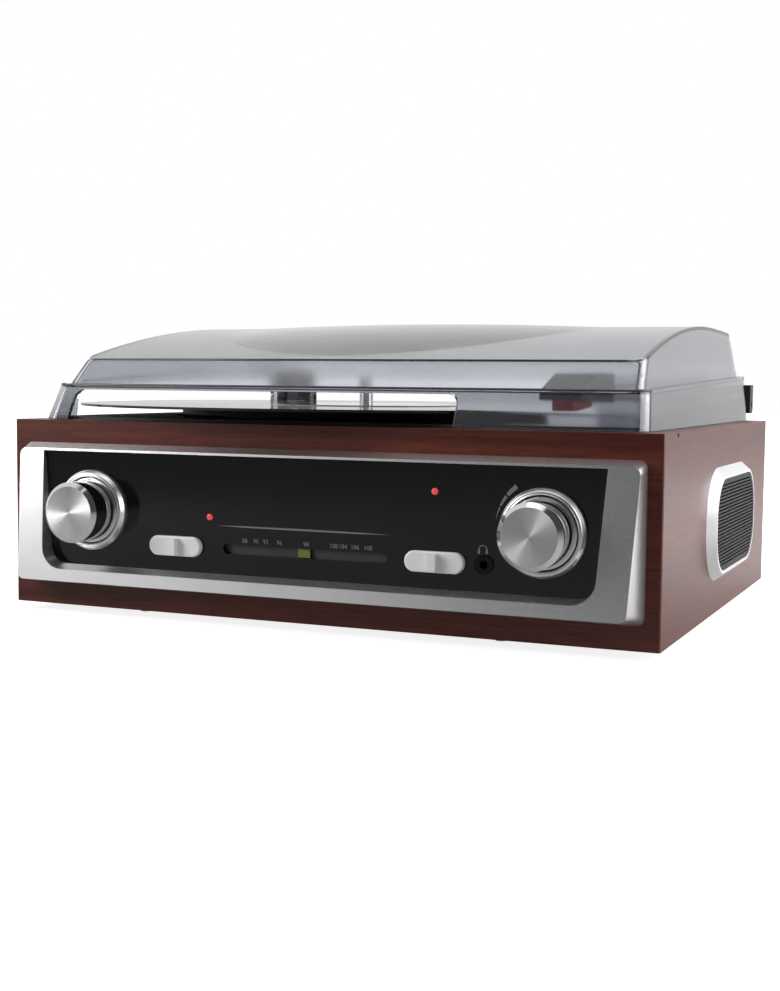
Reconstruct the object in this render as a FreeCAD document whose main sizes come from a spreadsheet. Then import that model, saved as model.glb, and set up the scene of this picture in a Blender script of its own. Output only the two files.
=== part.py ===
import FreeCAD, Part
import math
import os
import re
from types import SimpleNamespace

import Sketcher

# Record player with a radio: a wooden cabinet with a silver fascia, a deck with platter and tonearm,
# and a smoked dust cover whose front, left and rear walls are cut out so that a long-playing record can
# stand out past the cabinet. Millimetres and degrees. X runs to the right, Y to the back, Z up.
# The origin is on the floor, in the middle of the box that holds the whole player.

SIZES = {
    # Cuts run past their walls, loose pieces stand apart, and shafts run in their holes.
    "overrun": 1.0,
    "clearance": 0.3,
    "shaft_gap": 0.05,
    # Wooden cabinet, sized by the record that stands out past it and by the tonearm beside the record.
    "record_radius": 150.8,
    "platter_share": 0.65,
    "record_overhang_left": 20.8,
    "arm_aside": 2.2,
    "arm_inset": 39.0,
    "record_overhang_front": 19.3,
    "record_overhang_rear": 25.3,
    "cabinet_height": 90.0,
    "wood_wall": 9.0,
    "front_edge_round": 1.2,
    "shelf_side": 16.0,
    "shelf_end": 15.5,
    "fascia_opening_side": 6.0,
    "fascia_opening_end": 4.75,
    "speaker_hole_radius": 24.0,
    "rear_panel_overlap": 9.0,
    # Base panel, feet and screws.
    "base_thickness": 3.0,
    "base_rebate": 5.0,
    "vent_length": 60.0,
    "vent_width": 3.0,
    "vent_pitch": 9.0,
    "foot_height": 4.0,
    "foot_radius": 9.0,
    "foot_tip_radius": 8.0,
    "foot_inset": 30.0,
    "screw_radius": 1.4,
    "screw_head_radius": 2.3,
    "screw_head_height": 1.2,
    "screw_bite": 10.0,
    "side_screw_share": 0.27,
    "end_screw_share": 0.28,
    # Rear panel and its sockets.
    "rear_panel_side": 41.0,
    "rear_panel_end": 10.0,
    "rear_panel_thickness": 2.0,
    "rear_panel_round": 4.0,
    "jack_radius": 4.15,
    "jack_reach": 9.0,
    "jack_bore_radius": 1.6,
    "jack_flange_radius": 6.0,
    "jack_flange": 1.5,
    "jack_inside": 12.0,
    "jack_spacing": 14.0,
    "jack_x": 70.0,
    "inlet_x": -80.0,
    "inlet_radius": 5.5,
    "inlet_bore_radius": 3.2,
    "inlet_flange_radius": 8.0,
    "inlet_flange": 3.0,
    "inlet_inside": 6.0,
    # Deck plate with its pan under the platter.
    "deck_side_margin": 12.5,
    "deck_end_margin": 12.5,
    "deck_flange": 1.5,
    "deck_round": 6.0,
    "pan_gap": 4.0,
    "pan_wall": 2.5,
    "pan_depth": 10.0,
    # Fascia: the bezel leans forward at its foot, and its ridge closes in downwards.
    "bezel_side_margin": 6.7,
    "bezel_bottom": 10.6,
    "bezel_top_margin": 11.0,
    "bezel_corner": 3.5,
    "ridge_top_side": 1.2,
    "ridge_bottom_side": 4.4,
    "ridge_top_drop": 2.4,
    "ridge_bottom_rise": 2.8,
    "ridge_corner": 3.5,
    "ridge_top_proud": 6.5,
    "ridge_bottom_proud": 14.0,
    "bezel_lip": 3.0,
    "bevel_spread": 0.4,
    "bevel_drop": 1.8,
    "bevel_corner": 11.0,
    # Black panel in the bezel.
    "panel_proud": 5.0,
    "panel_thickness": 2.5,
    "panel_top_drop": 3.5,
    "panel_bottom_rise": 10.4,
    "panel_top_side": 14.9,
    "panel_bottom_side": 18.5,
    "panel_corner": 9.0,
    "post_radius": 3.0,
    "post_inset": 14.0,
    "post_end": 10.3,
    # Tuning dial.
    "dial_height": 4.6,
    "dial_rise": 11.8,
    "scale_thickness": 1.0,
    "scale_margin": 4.0,
    "pointer_width": 6.0,
    "pointer_thickness": 1.2,
    # Knobs and their fixed rings.
    "knob_inset": 27.4,
    "knob_drop": 0.6,
    "dial_share": 0.732,
    "band_share": 0.585,
    "function_share": 0.57,
    "socket_share": 0.768,
    "stereo_lamp_share": 0.4286,
    "stereo_lamp_height_share": 0.477,
    "power_lamp_share": 0.5643,
    "power_lamp_height_share": 0.774,
    "knob_reach": 25.0,
    "knob_radius": 14.25,
    "knob_face_radius": 12.25,
    "knob_chamfer": 1.8,
    "knob_flange_radius": 15.6,
    "knob_flange": 3.0,
    "knob_wall": 2.0,
    "ring_radius": 19.1,
    "ring_inner_radius": 16.1,
    "ring_height": 5.0,
    "ring_crown_radius": 17.4,
    "ring_side": 2.2,
    "ring_round": 0.9,
    "shaft_radius": 3.0,
    "shaft_hole_radius": 4.0,
    "shaft_seat": 10.0,
    "drum_radius": 13.6,
    "drum_width": 3.0,
    # Lamps and headphone socket.
    "lamp_radius": 1.5,
    "lamp_flange_radius": 2.2,
    "lamp_flange": 1.0,
    "lamp_proud": 0.9,
    "lamp_round": 0.8,
    "socket_radius": 3.0,
    "socket_bore_radius": 1.8,
    "socket_bore_depth": 14.0,
    "socket_nut_radius": 4.2,
    "socket_nut": 0.9,
    # Slide switches on the panel.
    "slider_length": 27.6,
    "slider_height": 9.3,
    "slider_thickness": 2.4,
    "slider_round": 0.8,
    "thumb_width": 3.6,
    "thumb_height": 7.4,
    "thumb_reach": 3.0,
    "slider_travel": 3.0,
    "stem_width": 4.0,
    "stem_height": 2.6,
    "switch_width": 18.0,
    "switch_height": 8.0,
    # Circuit board and what stands on it.
    "board_side": 6.0,
    "board_top_drop": 3.5,
    "board_thickness": 1.6,
    "board_gap": 9.5,
    "board_bottom_drop": 6.0,
    "capacitor_side": 22.0,
    "potentiometer_radius": 9.0,
    "control_depth": 9.0,
    # Speakers.
    "speaker_y": 18.3,
    "speaker_z": 43.3,
    "speaker_width": 110.6,
    "speaker_height": 54.4,
    "speaker_corner": 24.0,
    "speaker_proud": 4.3,
    "speaker_draft": 3.7,
    "speaker_lip": 1.4,
    "grille_thickness": 2.4,
    "grille_step": 0.4,
    "grille_border": 1.6,
    "louvre_pitch": 1.65,
    "louvre_gap": 0.75,
    "driver_radius": 28.0,
    "driver_flange": 2.0,
    "cone_radius": 22.0,
    "cone_depth": 7.0,
    "dust_cap_radius": 8.0,
    "basket_radius": 14.0,
    "basket_depth": 14.0,
    "magnet_radius": 18.0,
    "magnet_depth": 10.0,
    # Power transformer on the base panel.
    "transformer_aside": 66.0,
    "transformer_behind": 57.5,
    "core_width": 46.0,
    "core_depth": 22.0,
    "core_height": 40.0,
    "coil_width": 30.0,
    "coil_depth": 40.0,
    "coil_height": 26.0,
    "bracket_width": 62.0,
    "bracket_thickness": 1.5,
    # Platter, record and spindle.
    "platter_gap": 0.8,
    "platter_thickness": 3.1,
    "platter_web": 2.0,
    "platter_rim": 4.0,
    "drive_inset": 22.0,
    "drive_wall": 2.5,
    "drive_height": 7.0,
    "hub_radius": 12.0,
    "mat_inset": 1.0,
    "mat_thickness": 1.0,
    "record_thickness": 1.2,
    "record_bead": 0.2,
    "record_bead_width": 4.0,
    "label_radius": 50.0,
    "label_thickness": 0.2,
    "spindle_radius": 3.6,
    "spindle_rise": 11.0,
    "spindle_dome": 1.6,
    "journal_radius": 4.0,
    "journal_length": 22.0,
    "bearing_radius": 8.0,
    "bearing_flange_radius": 12.0,
    "bearing_flange": 2.0,
    "bearing_rise": 3.0,
    # Motor, pulley and belt.
    "pulley_radius": 3.5,
    "pulley_flange_radius": 5.0,
    "pulley_flange": 0.8,
    "pulley_standoff": 12.0,
    "pulley_bearing": 62.0,
    "belt_thickness": 0.8,
    "belt_width": 4.0,
    "motor_radius": 16.0,
    "motor_height": 24.0,
    "motor_boss_radius": 4.5,
    "motor_boss": 2.0,
    "motor_shaft_radius": 1.0,
    "motor_shaft_seat": 8.0,
    "motor_hole_radius": 7.0,
    # Tonearm.
    "arm_setback": 42.5,
    "arm_park_angle": 4.7,
    "arm_height": 16.2,
    "arm_base_radius": 16.0,
    "arm_base_top_radius": 12.0,
    "arm_base_height": 7.0,
    "yoke_radius": 10.0,
    "yoke_floor": 2.0,
    "yoke_ear": 2.5,
    "yoke_ear_depth": 9.0,
    "yoke_rise": 4.5,
    "yoke_pin_radius": 3.0,
    "yoke_pin_length": 6.0,
    "trunnion_radius": 1.5,
    "arm_block_width": 13.0,
    "arm_block_length": 12.0,
    "arm_block_height": 8.0,
    "arm_tube_radius": 3.2,
    "arm_nose_gap": 24.5,
    "head_length": 44.0,
    "head_width": 20.0,
    "head_top_rise": 5.4,
    "head_floor_drop": 5.0,
    "head_nose_height": 4.0,
    "head_slope": 16.0,
    "head_round": 2.0,
    "stylus_length": 24.0,
    "stylus_width": 10.0,
    "stylus_setback": 3.0,
    "stylus_taper": 3.0,
    "weight_radius": 7.5,
    "weight_length": 10.0,
    "weight_gap": 5.0,
    "rest_distance": 32.0,
    "rest_radius": 3.5,
    "rest_length": 7.0,
    "rest_lip": 2.2,
    "rest_lip_rise": 5.0,
    "rest_cradle": 3.0,
    # Speed selector on the deck.
    "speed_inset": 28.0,
    "speed_y": 8.0,
    "speed_travel": 6.0,
    "speed_knob_length": 12.0,
    "speed_knob_width": 7.0,
    "speed_knob_height": 4.5,
    "speed_stem_width": 3.0,
    "speed_stem_length": 5.0,
    "speed_switch_width": 14.0,
    "speed_switch_length": 34.0,
    "speed_switch_height": 9.0,
    # Dust cover.
    "cover_wall": 2.0,
    "cover_side_margin": 9.5,
    "cover_front_margin": 8.0,
    "cover_rear_margin": 0.5,
    "cover_corner": 8.0,
    "ledge_front_rise": 16.8,
    "ledge_rear_rise": 25.0,
    "skirt_rake": 8.6,
    "skirt_draft": 2.2,
    "ledge_width": 3.4,
    "hood_front_rise": 30.0,
    "hood_front_rake": 12.9,
    "hood_side_draft": 1.9,
    "hood_rear_draft": 4.0,
    "hood_peak_rise": 50.0,
    "hood_peak_share": 0.2,
    "hood_rear_rise": 48.2,
    "dome_radius": 100.0,
    "dome_rise": 2.1,
    "dome_aside": 23.0,
    "dome_behind": 11.0,
    "gap_rise": 14.8,
    "gap_round": 5.0,
    "gap_left_extra": 8.5,
    "front_gap_lean": 5.0,
    "rear_gap_swing": 3.0,
    "rear_post": 9.5,
    "record_gap": 3.4,
    # Hinges at the rear corners of the cover.
    "hinge_inset": 12.0,
    "hinge_behind": 6.5,
    "hinge_rise": 9.0,
    "leaf_width": 25.0,
    "leaf_depth": 10.5,
    "leaf_bottom_rise": 4.0,
    "leaf_top_rise": 20.0,
    "leaf_round": 1.5,
    "leaf_slot_rise": 15.0,
    "lug_width": 8.0,
    "lug_radius": 4.0,
    "pin_radius": 2.0,
    "pin_length": 23.0,
    "plate_width": 16.0,
    "plate_bottom_drop": 28.0,
    "plate_top_drop": 2.0,
    "plate_thickness": 2.5,
}

# Sizes that follow from others, as sheet formulas. Heights count from the cabinet's underside.
FOLLOWING = {
    "cabinet_width": "=2 * record_radius - record_overhang_left + arm_aside + arm_inset",
    "cabinet_depth": "=2 * record_radius - record_overhang_front - record_overhang_rear",
    "platter_x": "=record_radius - record_overhang_left - cabinet_width / 2",
    "platter_y": "=record_radius - record_overhang_front - cabinet_depth / 2",
    "top_opening_width": "=cabinet_width - 2 * shelf_side",
    "top_opening_depth": "=cabinet_depth - 2 * shelf_end",
    "rear_panel_width": "=cabinet_width - 2 * rear_panel_side",
    "rear_panel_height": "=cabinet_height - 2 * rear_panel_end",
    "rear_opening_width": "=rear_panel_width - 2 * rear_panel_overlap",
    "rear_opening_height": "=rear_panel_height - 2 * rear_panel_overlap",
    "side_screw_y": "=side_screw_share * cabinet_depth",
    "end_screw_x": "=end_screw_share * cabinet_width",
    "deck_width": "=cabinet_width - 2 * deck_side_margin",
    "deck_depth": "=cabinet_depth - 2 * deck_end_margin",
    "bezel_width": "=cabinet_width - 2 * bezel_side_margin",
    "bezel_top": "=cabinet_height - bezel_top_margin",
    "ridge_top_width": "=bezel_width - 2 * ridge_top_side",
    "ridge_bottom_width": "=bezel_width - 2 * ridge_bottom_side",
    "ridge_top": "=bezel_top - ridge_top_drop",
    "ridge_bottom": "=bezel_bottom + ridge_bottom_rise",
    "panel_top": "=bezel_top - panel_top_drop",
    "panel_bottom": "=bezel_bottom + panel_bottom_rise",
    "panel_top_width": "=bezel_width - 2 * panel_top_side",
    "panel_bottom_width": "=bezel_width - 2 * panel_bottom_side",
    "fascia_opening_width": "=panel_bottom_width - 2 * fascia_opening_side",
    "fascia_opening_height": "=panel_top - panel_bottom - 2 * fascia_opening_end",
    "knob_x": "=panel_top_width / 2 - knob_inset",
    "knob_z": "=(panel_top + panel_bottom) / 2 - knob_drop",
    "dial_length": "=dial_share * knob_x",
    "band_x": "=-band_share * knob_x",
    "function_x": "=function_share * knob_x",
    "stereo_lamp_x": "=-stereo_lamp_share * knob_x",
    "power_lamp_x": "=power_lamp_share * knob_x",
    "dial_z": "=panel_bottom + dial_rise",
    "slider_z": "=dial_z",
    "socket_x": "=socket_share * knob_x",
    "socket_z": "=dial_z",
    "stereo_lamp_z": "=panel_bottom + stereo_lamp_height_share * (panel_top - panel_bottom)",
    "power_lamp_z": "=panel_bottom + power_lamp_height_share * (panel_top - panel_bottom)",
    "post_x": "=knob_x - post_inset",
    "post_low_z": "=panel_bottom + post_end",
    "post_high_z": "=panel_top - post_end",
    "board_width": "=fascia_opening_width + 2 * board_side",
    "board_bottom": "=panel_bottom - board_bottom_drop",
    "board_height": "=panel_top - board_top_drop - board_bottom",
    "board_y": "=wood_wall + board_gap - cabinet_depth / 2",
    "transformer_x": "=transformer_aside - cabinet_width / 2 + wood_wall",
    "transformer_y": "=cabinet_depth / 2 - wood_wall - transformer_behind",
    "platter_radius": "=platter_share * record_radius",
    "pan_radius": "=platter_radius + pan_gap",
    "drive_radius": "=platter_radius - drive_inset",
    "mat_radius": "=platter_radius - mat_inset",
    "pulley_distance": "=drive_radius + pulley_standoff",
    "arm_x": "=cabinet_width / 2 - arm_inset",
    "arm_y": "=cabinet_depth / 2 - arm_setback",
    "cover_base_width": "=cabinet_width - 2 * cover_side_margin",
    "cover_base_depth": "=cabinet_depth - cover_front_margin - cover_rear_margin",
    "cover_front": "=cover_front_margin - cabinet_depth / 2",
    "cover_rear": "=cabinet_depth / 2 - cover_rear_margin",
    "arm_tube_length": "=arm_y - cover_front - head_length - arm_nose_gap",
    "speed_x": "=cabinet_width / 2 - speed_inset",
    "ledge_front": "=cabinet_height + ledge_front_rise",
    "ledge_rear": "=cabinet_height + ledge_rear_rise",
    "hood_front_height": "=cabinet_height + hood_front_rise",
    "hood_peak": "=cabinet_height + hood_peak_rise",
    "hood_peak_y": "=hood_peak_share * cabinet_depth",
    "hood_rear_height": "=cabinet_height + hood_rear_rise",
    "dome_x": "=platter_x + dome_aside",
    "dome_y": "=platter_y + dome_behind",
    "gap_top": "=cabinet_height + gap_rise",
    "front_gap_reach": "=record_radius - record_overhang_front - cover_front_margin - front_gap_lean",
    "front_gap_right": "=sqrt(record_radius ^ 2 - front_gap_reach ^ 2) + record_gap",
    "rear_wall_inside": "=cover_rear_margin + cover_wall + rear_gap_swing",
    "rear_gap_reach": "=record_radius - record_overhang_rear - rear_wall_inside",
    "rear_gap_right": "=sqrt(record_radius ^ 2 - rear_gap_reach ^ 2) + record_gap",
    "side_gap_reach": "=record_radius - record_overhang_left - cover_side_margin - cover_wall",
    "gap_side": "=sqrt(record_radius ^ 2 - side_gap_reach ^ 2) + record_gap",
    "gap_left": "=front_gap_right + gap_left_extra",
    "hinge_x": "=cover_base_width / 2 - hinge_inset",
    "hinge_y": "=cover_rear + hinge_behind",
    "hinge_z": "=cabinet_height + hinge_rise",
    "leaf_bottom": "=cabinet_height + leaf_bottom_rise",
    "leaf_top": "=cabinet_height + leaf_top_rise",
    "leaf_slot_top": "=cabinet_height + leaf_slot_rise",
    "plate_bottom": "=cabinet_height - plate_bottom_drop",
    "plate_top": "=cabinet_height - plate_top_drop",
}

# Shares of the sizes that they follow.
HOOD_FLANK_SHARE = 0.45
HOOD_FLANK_RISE_SHARE = 0.68
DOME_REACH_SHARE = 1.03
DOME_STEPS = 12
VENT_COUNT = 7

document = FreeCAD.newDocument("record_player")
sheet = document.addObject("Spreadsheet::Sheet", "Sizes")
ALL_SIZES = {**SIZES, **FOLLOWING}
for row, (alias, value) in enumerate(ALL_SIZES.items(), start=1):
    sheet.set(f"A{row}", alias)
    sheet.set(f"B{row}", str(value))
    sheet.setAlias(f"B{row}", alias)
document.recompute()

# The same cells as plain numbers, for shapes that are worked out point by point.
size = SimpleNamespace(**{alias: float(sheet.get(alias)) for alias in ALL_SIZES})

# Places that many pieces share, written in the sheet's own names. Heights count from the cabinet's underside.
MIDDLE_X = "(record_radius - platter_x - cabinet_width / 2 - speaker_proud) / 2"
MIDDLE_Y = "(cabinet_depth / 2 + knob_reach - record_radius - platter_y) / 2"
CAVITY_WIDTH = "cabinet_width - 2 * wood_wall"
CAVITY_DEPTH = "cabinet_depth - 2 * wood_wall"
FRONT = "cabinet_depth / 2"
PANEL_FRONT = "cabinet_depth / 2 + panel_proud"
PANEL_REAR = "cabinet_depth / 2 + panel_proud - panel_thickness"
BOARD_FRONT = "-board_y + board_thickness"
DECK_TOP = "cabinet_height + deck_flange"
PAN_FLOOR = f"{DECK_TOP} - pan_depth"
PLATTER_UNDERSIDE = f"{DECK_TOP} + platter_gap"
MAT_TOP = f"{PLATTER_UNDERSIDE} + platter_thickness + mat_thickness"
RECORD_TOP = f"{MAT_TOP} + record_thickness"
ARM_Z = f"{DECK_TOP} + arm_height"
TOUCH = 1e-4

TO_FRONT = FreeCAD.Rotation(FreeCAD.Vector(1, 0, 0), 90)
TO_REAR = FreeCAD.Rotation(FreeCAD.Vector(1, 0, 0), -90)
TO_RIGHT = FreeCAD.Rotation(FreeCAD.Vector(0, 1, 0), 90)
TO_LEFT = FreeCAD.Rotation(FreeCAD.Vector(0, 1, 0), -90)
HALF_TURN = FreeCAD.Rotation(FreeCAD.Vector(0, 0, 1), 180)
NO_TURN = FreeCAD.Rotation()
PARKED = FreeCAD.Rotation(FreeCAD.Vector(0, 0, 1), -size.arm_park_angle)

sub_parts = []


def formula(text):
    """Sheet formula from plain size names."""
    return re.sub(r"[a-z]\w*", lambda word: f"Sizes.{word[0]}" if word[0] in ALL_SIZES else word[0], text)


def bind(target, name, text):
    """Tie one property of an object to the sheet."""
    target.setExpression(name, formula(text))


def place(target, x, y, z, turn):
    """Give an object its turn, and tie its place to the sheet."""
    target.Placement = FreeCAD.Placement(FreeCAD.Vector(), turn)
    for axis, text in zip("xyz", (x, y, z)):
        bind(target, f"Placement.Base.{axis}", text)


def keep(target, label, x="0", y="0", z="0", turn=NO_TURN):
    """Name a finished sub-part and set it in the player, measured from the cabinet's underside centre."""
    target.Label = label
    place(target, f"{MIDDLE_X} + {x}", f"{MIDDLE_Y} + {y}", f"foot_height + {z}", turn)
    sub_parts.append(target)


def upright(edge):
    """True for an edge along Z."""
    return edge.BoundBox.XLength < TOUCH and edge.BoundBox.YLength < TOUCH


def endwise(edge):
    """True for an edge along Y."""
    return edge.BoundBox.XLength < TOUCH and edge.BoundBox.ZLength < TOUCH


def level_at(height):
    """Test for edges that lie level at a height."""
    return lambda edge: abs(edge.BoundBox.ZMin - height) < TOUCH and abs(edge.BoundBox.ZMax - height) < TOUCH


def rectangle(width, height, x="0", y="0"):
    """Corners of a rectangle about its middle."""
    left = f"{x} - ({width}) / 2"
    right = f"{x} + ({width}) / 2"
    low = f"{y} - ({height}) / 2"
    high = f"{y} + ({height}) / 2"
    return [(left, low), (right, low), (right, high), (left, high)]


class Piece:
    """A body grown from sketches on its own origin planes."""

    def __init__(self, name):
        self.body = document.addObject("PartDesign::Body", name)

    def sketch(self, plane, level):
        sketch = self.body.newObject("Sketcher::SketchObject", "outline")
        support = next(part for part in self.body.Origin.OriginFeatures if part.Role == plane)
        sketch.AttachmentSupport = [(support, "")]
        sketch.MapMode = "FlatFace"
        bind(sketch, "AttachmentOffset.Base.z", level)
        return sketch

    def fix(self, sketch, kind, spot, text, start):
        """Tie one measure of a sketch to the sheet, starting from the value that it is drawn with."""
        number = sketch.addConstraint(Sketcher.Constraint(kind, *spot, start))
        bind(sketch, f"Constraints[{number}]", text)

    def polygon(self, plane, points, level="0"):
        """Closed outline of straight lines, each corner tied to the sheet."""
        sketch = self.sketch(plane, level)
        count = len(points)
        turns = [math.tau * index / count for index in range(count + 1)]
        corners = [FreeCAD.Vector(math.cos(turn), math.sin(turn), 0) for turn in turns]
        for start, end in zip(corners, corners[1:]):
            sketch.addGeometry(Part.LineSegment(start, end))
        for index in range(count):
            sketch.addConstraint(Sketcher.Constraint("Coincident", index, 2, (index + 1) % count, 1))
        for index, (x, y) in enumerate(points):
            self.fix(sketch, "DistanceX", (index, 1), x, corners[index].x)
            self.fix(sketch, "DistanceY", (index, 1), y, corners[index].y)
        return sketch

    def circles(self, plane, radius, centres, level="0"):
        """Equal circles about the given centres."""
        sketch = self.sketch(plane, level)
        for x, y in centres:
            circle = Part.Circle(FreeCAD.Vector(1, 1, 0), FreeCAD.Vector(0, 0, 1), 1)
            index = sketch.addGeometry(circle)
            self.fix(sketch, "DistanceX", (index, 3), x, 1.0)
            self.fix(sketch, "DistanceY", (index, 3), y, 1.0)
            self.fix(sketch, "Radius", (index,), radius, 1.0)
        return sketch

    def pill(self, plane, length, height, x, y, level="0"):
        """Straight slot outline with round ends."""
        sketch = self.sketch(plane, level)
        up = FreeCAD.Vector(0, 0, 1)
        quarter = math.pi / 2
        right = Part.ArcOfCircle(Part.Circle(FreeCAD.Vector(1, 0, 0), up, 1), -quarter, quarter)
        left = Part.ArcOfCircle(Part.Circle(FreeCAD.Vector(-1, 0, 0), up, 1), quarter, 3 * quarter)
        sketch.addGeometry(Part.LineSegment(FreeCAD.Vector(-1, -1, 0), FreeCAD.Vector(1, -1, 0)))
        sketch.addGeometry(right)
        sketch.addGeometry(Part.LineSegment(FreeCAD.Vector(1, 1, 0), FreeCAD.Vector(-1, 1, 0)))
        sketch.addGeometry(left)
        for index in range(4):
            sketch.addConstraint(Sketcher.Constraint("Coincident", index, 2, (index + 1) % 4, 1))
        straight = f"(({length}) - ({height})) / 2"
        low = f"{y} - ({height}) / 2"
        high = f"{y} + ({height}) / 2"
        for line, first, second, edge, start in ((0, "-", "+", low, -1.0), (2, "+", "-", high, 1.0)):
            self.fix(sketch, "DistanceX", (line, 1), f"{x} {first} {straight}", start)
            self.fix(sketch, "DistanceX", (line, 2), f"{x} {second} {straight}", -start)
            self.fix(sketch, "DistanceY", (line, 1), edge, start)
            self.fix(sketch, "DistanceY", (line, 2), edge, start)
        self.fix(sketch, "DistanceX", (1, 3), f"{x} + {straight}", 1.0)
        self.fix(sketch, "DistanceX", (3, 3), f"{x} - {straight}", -1.0)
        return sketch

    def pad(self, sketch, length, back=False):
        pad = self.body.newObject("PartDesign::Pad", "pad")
        pad.Profile = sketch
        pad.Reversed = back
        bind(pad, "Length", length)
        document.recompute()
        return pad

    def pocket(self, sketch, length):
        """Cut against the sketch's own direction."""
        before = self.body.Shape.Volume
        pocket = self.body.newObject("PartDesign::Pocket", "pocket")
        pocket.Profile = sketch
        bind(pocket, "Length", length)
        document.recompute()
        if not self.body.Shape.Volume < before:
            raise RuntimeError(f"a pocket of {self.body.Name} cuts nothing")
        return pocket

    def turn(self, points):
        """Solid of revolution about Z from corners given as radius and height."""
        sketch = self.polygon("XZ_Plane", points)
        turning = self.body.newObject("PartDesign::Revolution", "turning")
        turning.Profile = sketch
        turning.ReferenceAxis = (sketch, ["V_Axis"])
        turning.Angle = 360
        document.recompute()
        return turning

    def round(self, radius, *tests):
        """Fillet the edges of the tip that pass every test."""
        tip = self.body.Tip
        names = [
            f"Edge{number}"
            for number, edge in enumerate(tip.Shape.Edges, start=1)
            if all(test(edge) for test in tests)
        ]
        fillet = self.body.newObject("PartDesign::Fillet", "fillet")
        fillet.Base = (tip, names)
        bind(fillet, "Radius", radius)
        document.recompute()
        return fillet


def turned(points):
    """Body of one solid of revolution."""
    piece = Piece("turned")
    piece.turn(points)
    return piece


def block(width, depth, height, x, y, z):
    """Box about a middle in X and Y, standing on a height."""
    box = document.addObject("Part::Box", "block")
    bind(box, "Length", width)
    bind(box, "Width", depth)
    bind(box, "Height", height)
    place(box, f"{x} - ({width}) / 2", f"{y} - ({depth}) / 2", z, NO_TURN)
    return box


def rod(radius, length, x, y, z, turn=NO_TURN):
    """Cylinder from a point, along Z or along its turn."""
    cylinder = document.addObject("Part::Cylinder", "rod")
    bind(cylinder, "Radius", radius)
    bind(cylinder, "Height", length)
    place(cylinder, x, y, z, turn)
    return cylinder


def fuse(*shapes):
    """One solid from shapes that meet."""
    union = document.addObject("Part::MultiFuse", "union")
    union.Shapes = list(shapes)
    union.Refine = True
    return union


def cut(base, *tools):
    """A base with its tools cut out."""
    tool = tools[0] if len(tools) == 1 else fuse(*tools)
    result = document.addObject("Part::Cut", "cut")
    result.Base = base
    result.Tool = tool
    return result


def group(*shapes):
    """Equal pieces kept as separate solids of one node."""
    compound = document.addObject("Part::Compound", "set")
    compound.Links = list(shapes)
    return compound


def worked(shape):
    """A document object for a shape that is worked out point by point."""
    feature = document.addObject("Part::Feature", "worked")
    feature.Shape = shape
    return feature


def rounded_wire(corners, lift):
    """Closed wire through corners given as (u, v, radius), sharp where the radius is 0, lifted into space."""
    edges = []
    ends = []
    count = len(corners)
    for index, (u, v, radius) in enumerate(corners):
        here = FreeCAD.Vector(u, v, 0)
        before = FreeCAD.Vector(*corners[index - 1][:2], 0)
        after = FreeCAD.Vector(*corners[(index + 1) % count][:2], 0)
        back = (before - here).normalize()
        ahead = (after - here).normalize()
        half = back.getAngle(ahead) / 2
        start = here + back * (radius / math.tan(half))
        end = here + ahead * (radius / math.tan(half))
        inward = (back + ahead).normalize()
        middle = here + inward * (radius / math.sin(half) - radius)
        ends.append([lift(point.x, point.y) for point in (start, middle, end)])
    for index, (start, middle, end) in enumerate(ends):
        edges.append(Part.LineSegment(ends[index - 1][2], start).toShape())
        if corners[index][2]:
            edges.append(Part.Arc(start, middle, end).toShape())
    return Part.Wire(edges)


def box_corners(half_width, front, rear, radius):
    """Corners of a plan outline, counter-clockwise from the front left."""
    return [
        (-half_width, front, radius),
        (half_width, front, radius),
        (half_width, rear, radius),
        (-half_width, rear, radius),
    ]


def make_cabinet():
    """Wooden box with its openings, a rebate for the base panel and pilot holes for the base screws."""
    piece = Piece("wooden_cabinet")
    piece.pad(piece.polygon("XY_Plane", rectangle("cabinet_width", "cabinet_depth")), "cabinet_height")
    piece.round("front_edge_round", upright, lambda edge: edge.BoundBox.YMax < 0)
    cavity = piece.polygon("XY_Plane", rectangle(CAVITY_WIDTH, CAVITY_DEPTH), "cabinet_height - wood_wall")
    piece.pocket(cavity, "cabinet_height")
    rebate_width = f"{CAVITY_WIDTH} + 2 * base_rebate"
    rebate_depth = f"{CAVITY_DEPTH} + 2 * base_rebate"
    rebate = piece.polygon("XY_Plane", rectangle(rebate_width, rebate_depth), "base_thickness")
    piece.pocket(rebate, "base_thickness + overrun")
    top = piece.polygon(
        "XY_Plane", rectangle("top_opening_width", "top_opening_depth"), "cabinet_height + overrun"
    )
    piece.pocket(top, "wood_wall + 2 * overrun")
    fascia = rectangle(
        "fascia_opening_width", "fascia_opening_height", "0", "(panel_top + panel_bottom) / 2"
    )
    piece.pocket(piece.polygon("XZ_Plane", fascia, f"{FRONT} + overrun"), "wood_wall + 2 * overrun")
    speakers = piece.circles(
        "YZ_Plane", "speaker_hole_radius", [("speaker_y", "speaker_z")], "cabinet_width / 2 + overrun"
    )
    piece.pocket(speakers, "cabinet_width + 2 * overrun")
    rear = rectangle("rear_opening_width", "rear_opening_height", "0", "cabinet_height / 2")
    piece.pocket(piece.polygon("XZ_Plane", rear, f"wood_wall + overrun - {FRONT}"), "wood_wall + 2 * overrun")
    pilots = piece.circles(
        "XY_Plane", "screw_radius + shaft_gap", screw_places(), "base_thickness + screw_bite"
    )
    piece.pocket(pilots, "screw_bite + overrun")
    keep(piece.body, "wooden_cabinet")


def screw_places():
    """Centres of the base screws, in the shoulder of the rebate."""
    side = f"(({CAVITY_WIDTH}) + base_rebate) / 2"
    end = f"(({CAVITY_DEPTH}) + base_rebate) / 2"
    places = []
    for first in ("", "-"):
        for second in ("", "-"):
            places.append((f"{first}({side})", f"{second}side_screw_y"))
            places.append((f"{first}end_screw_x", f"{second}({end})"))
    return places


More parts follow.
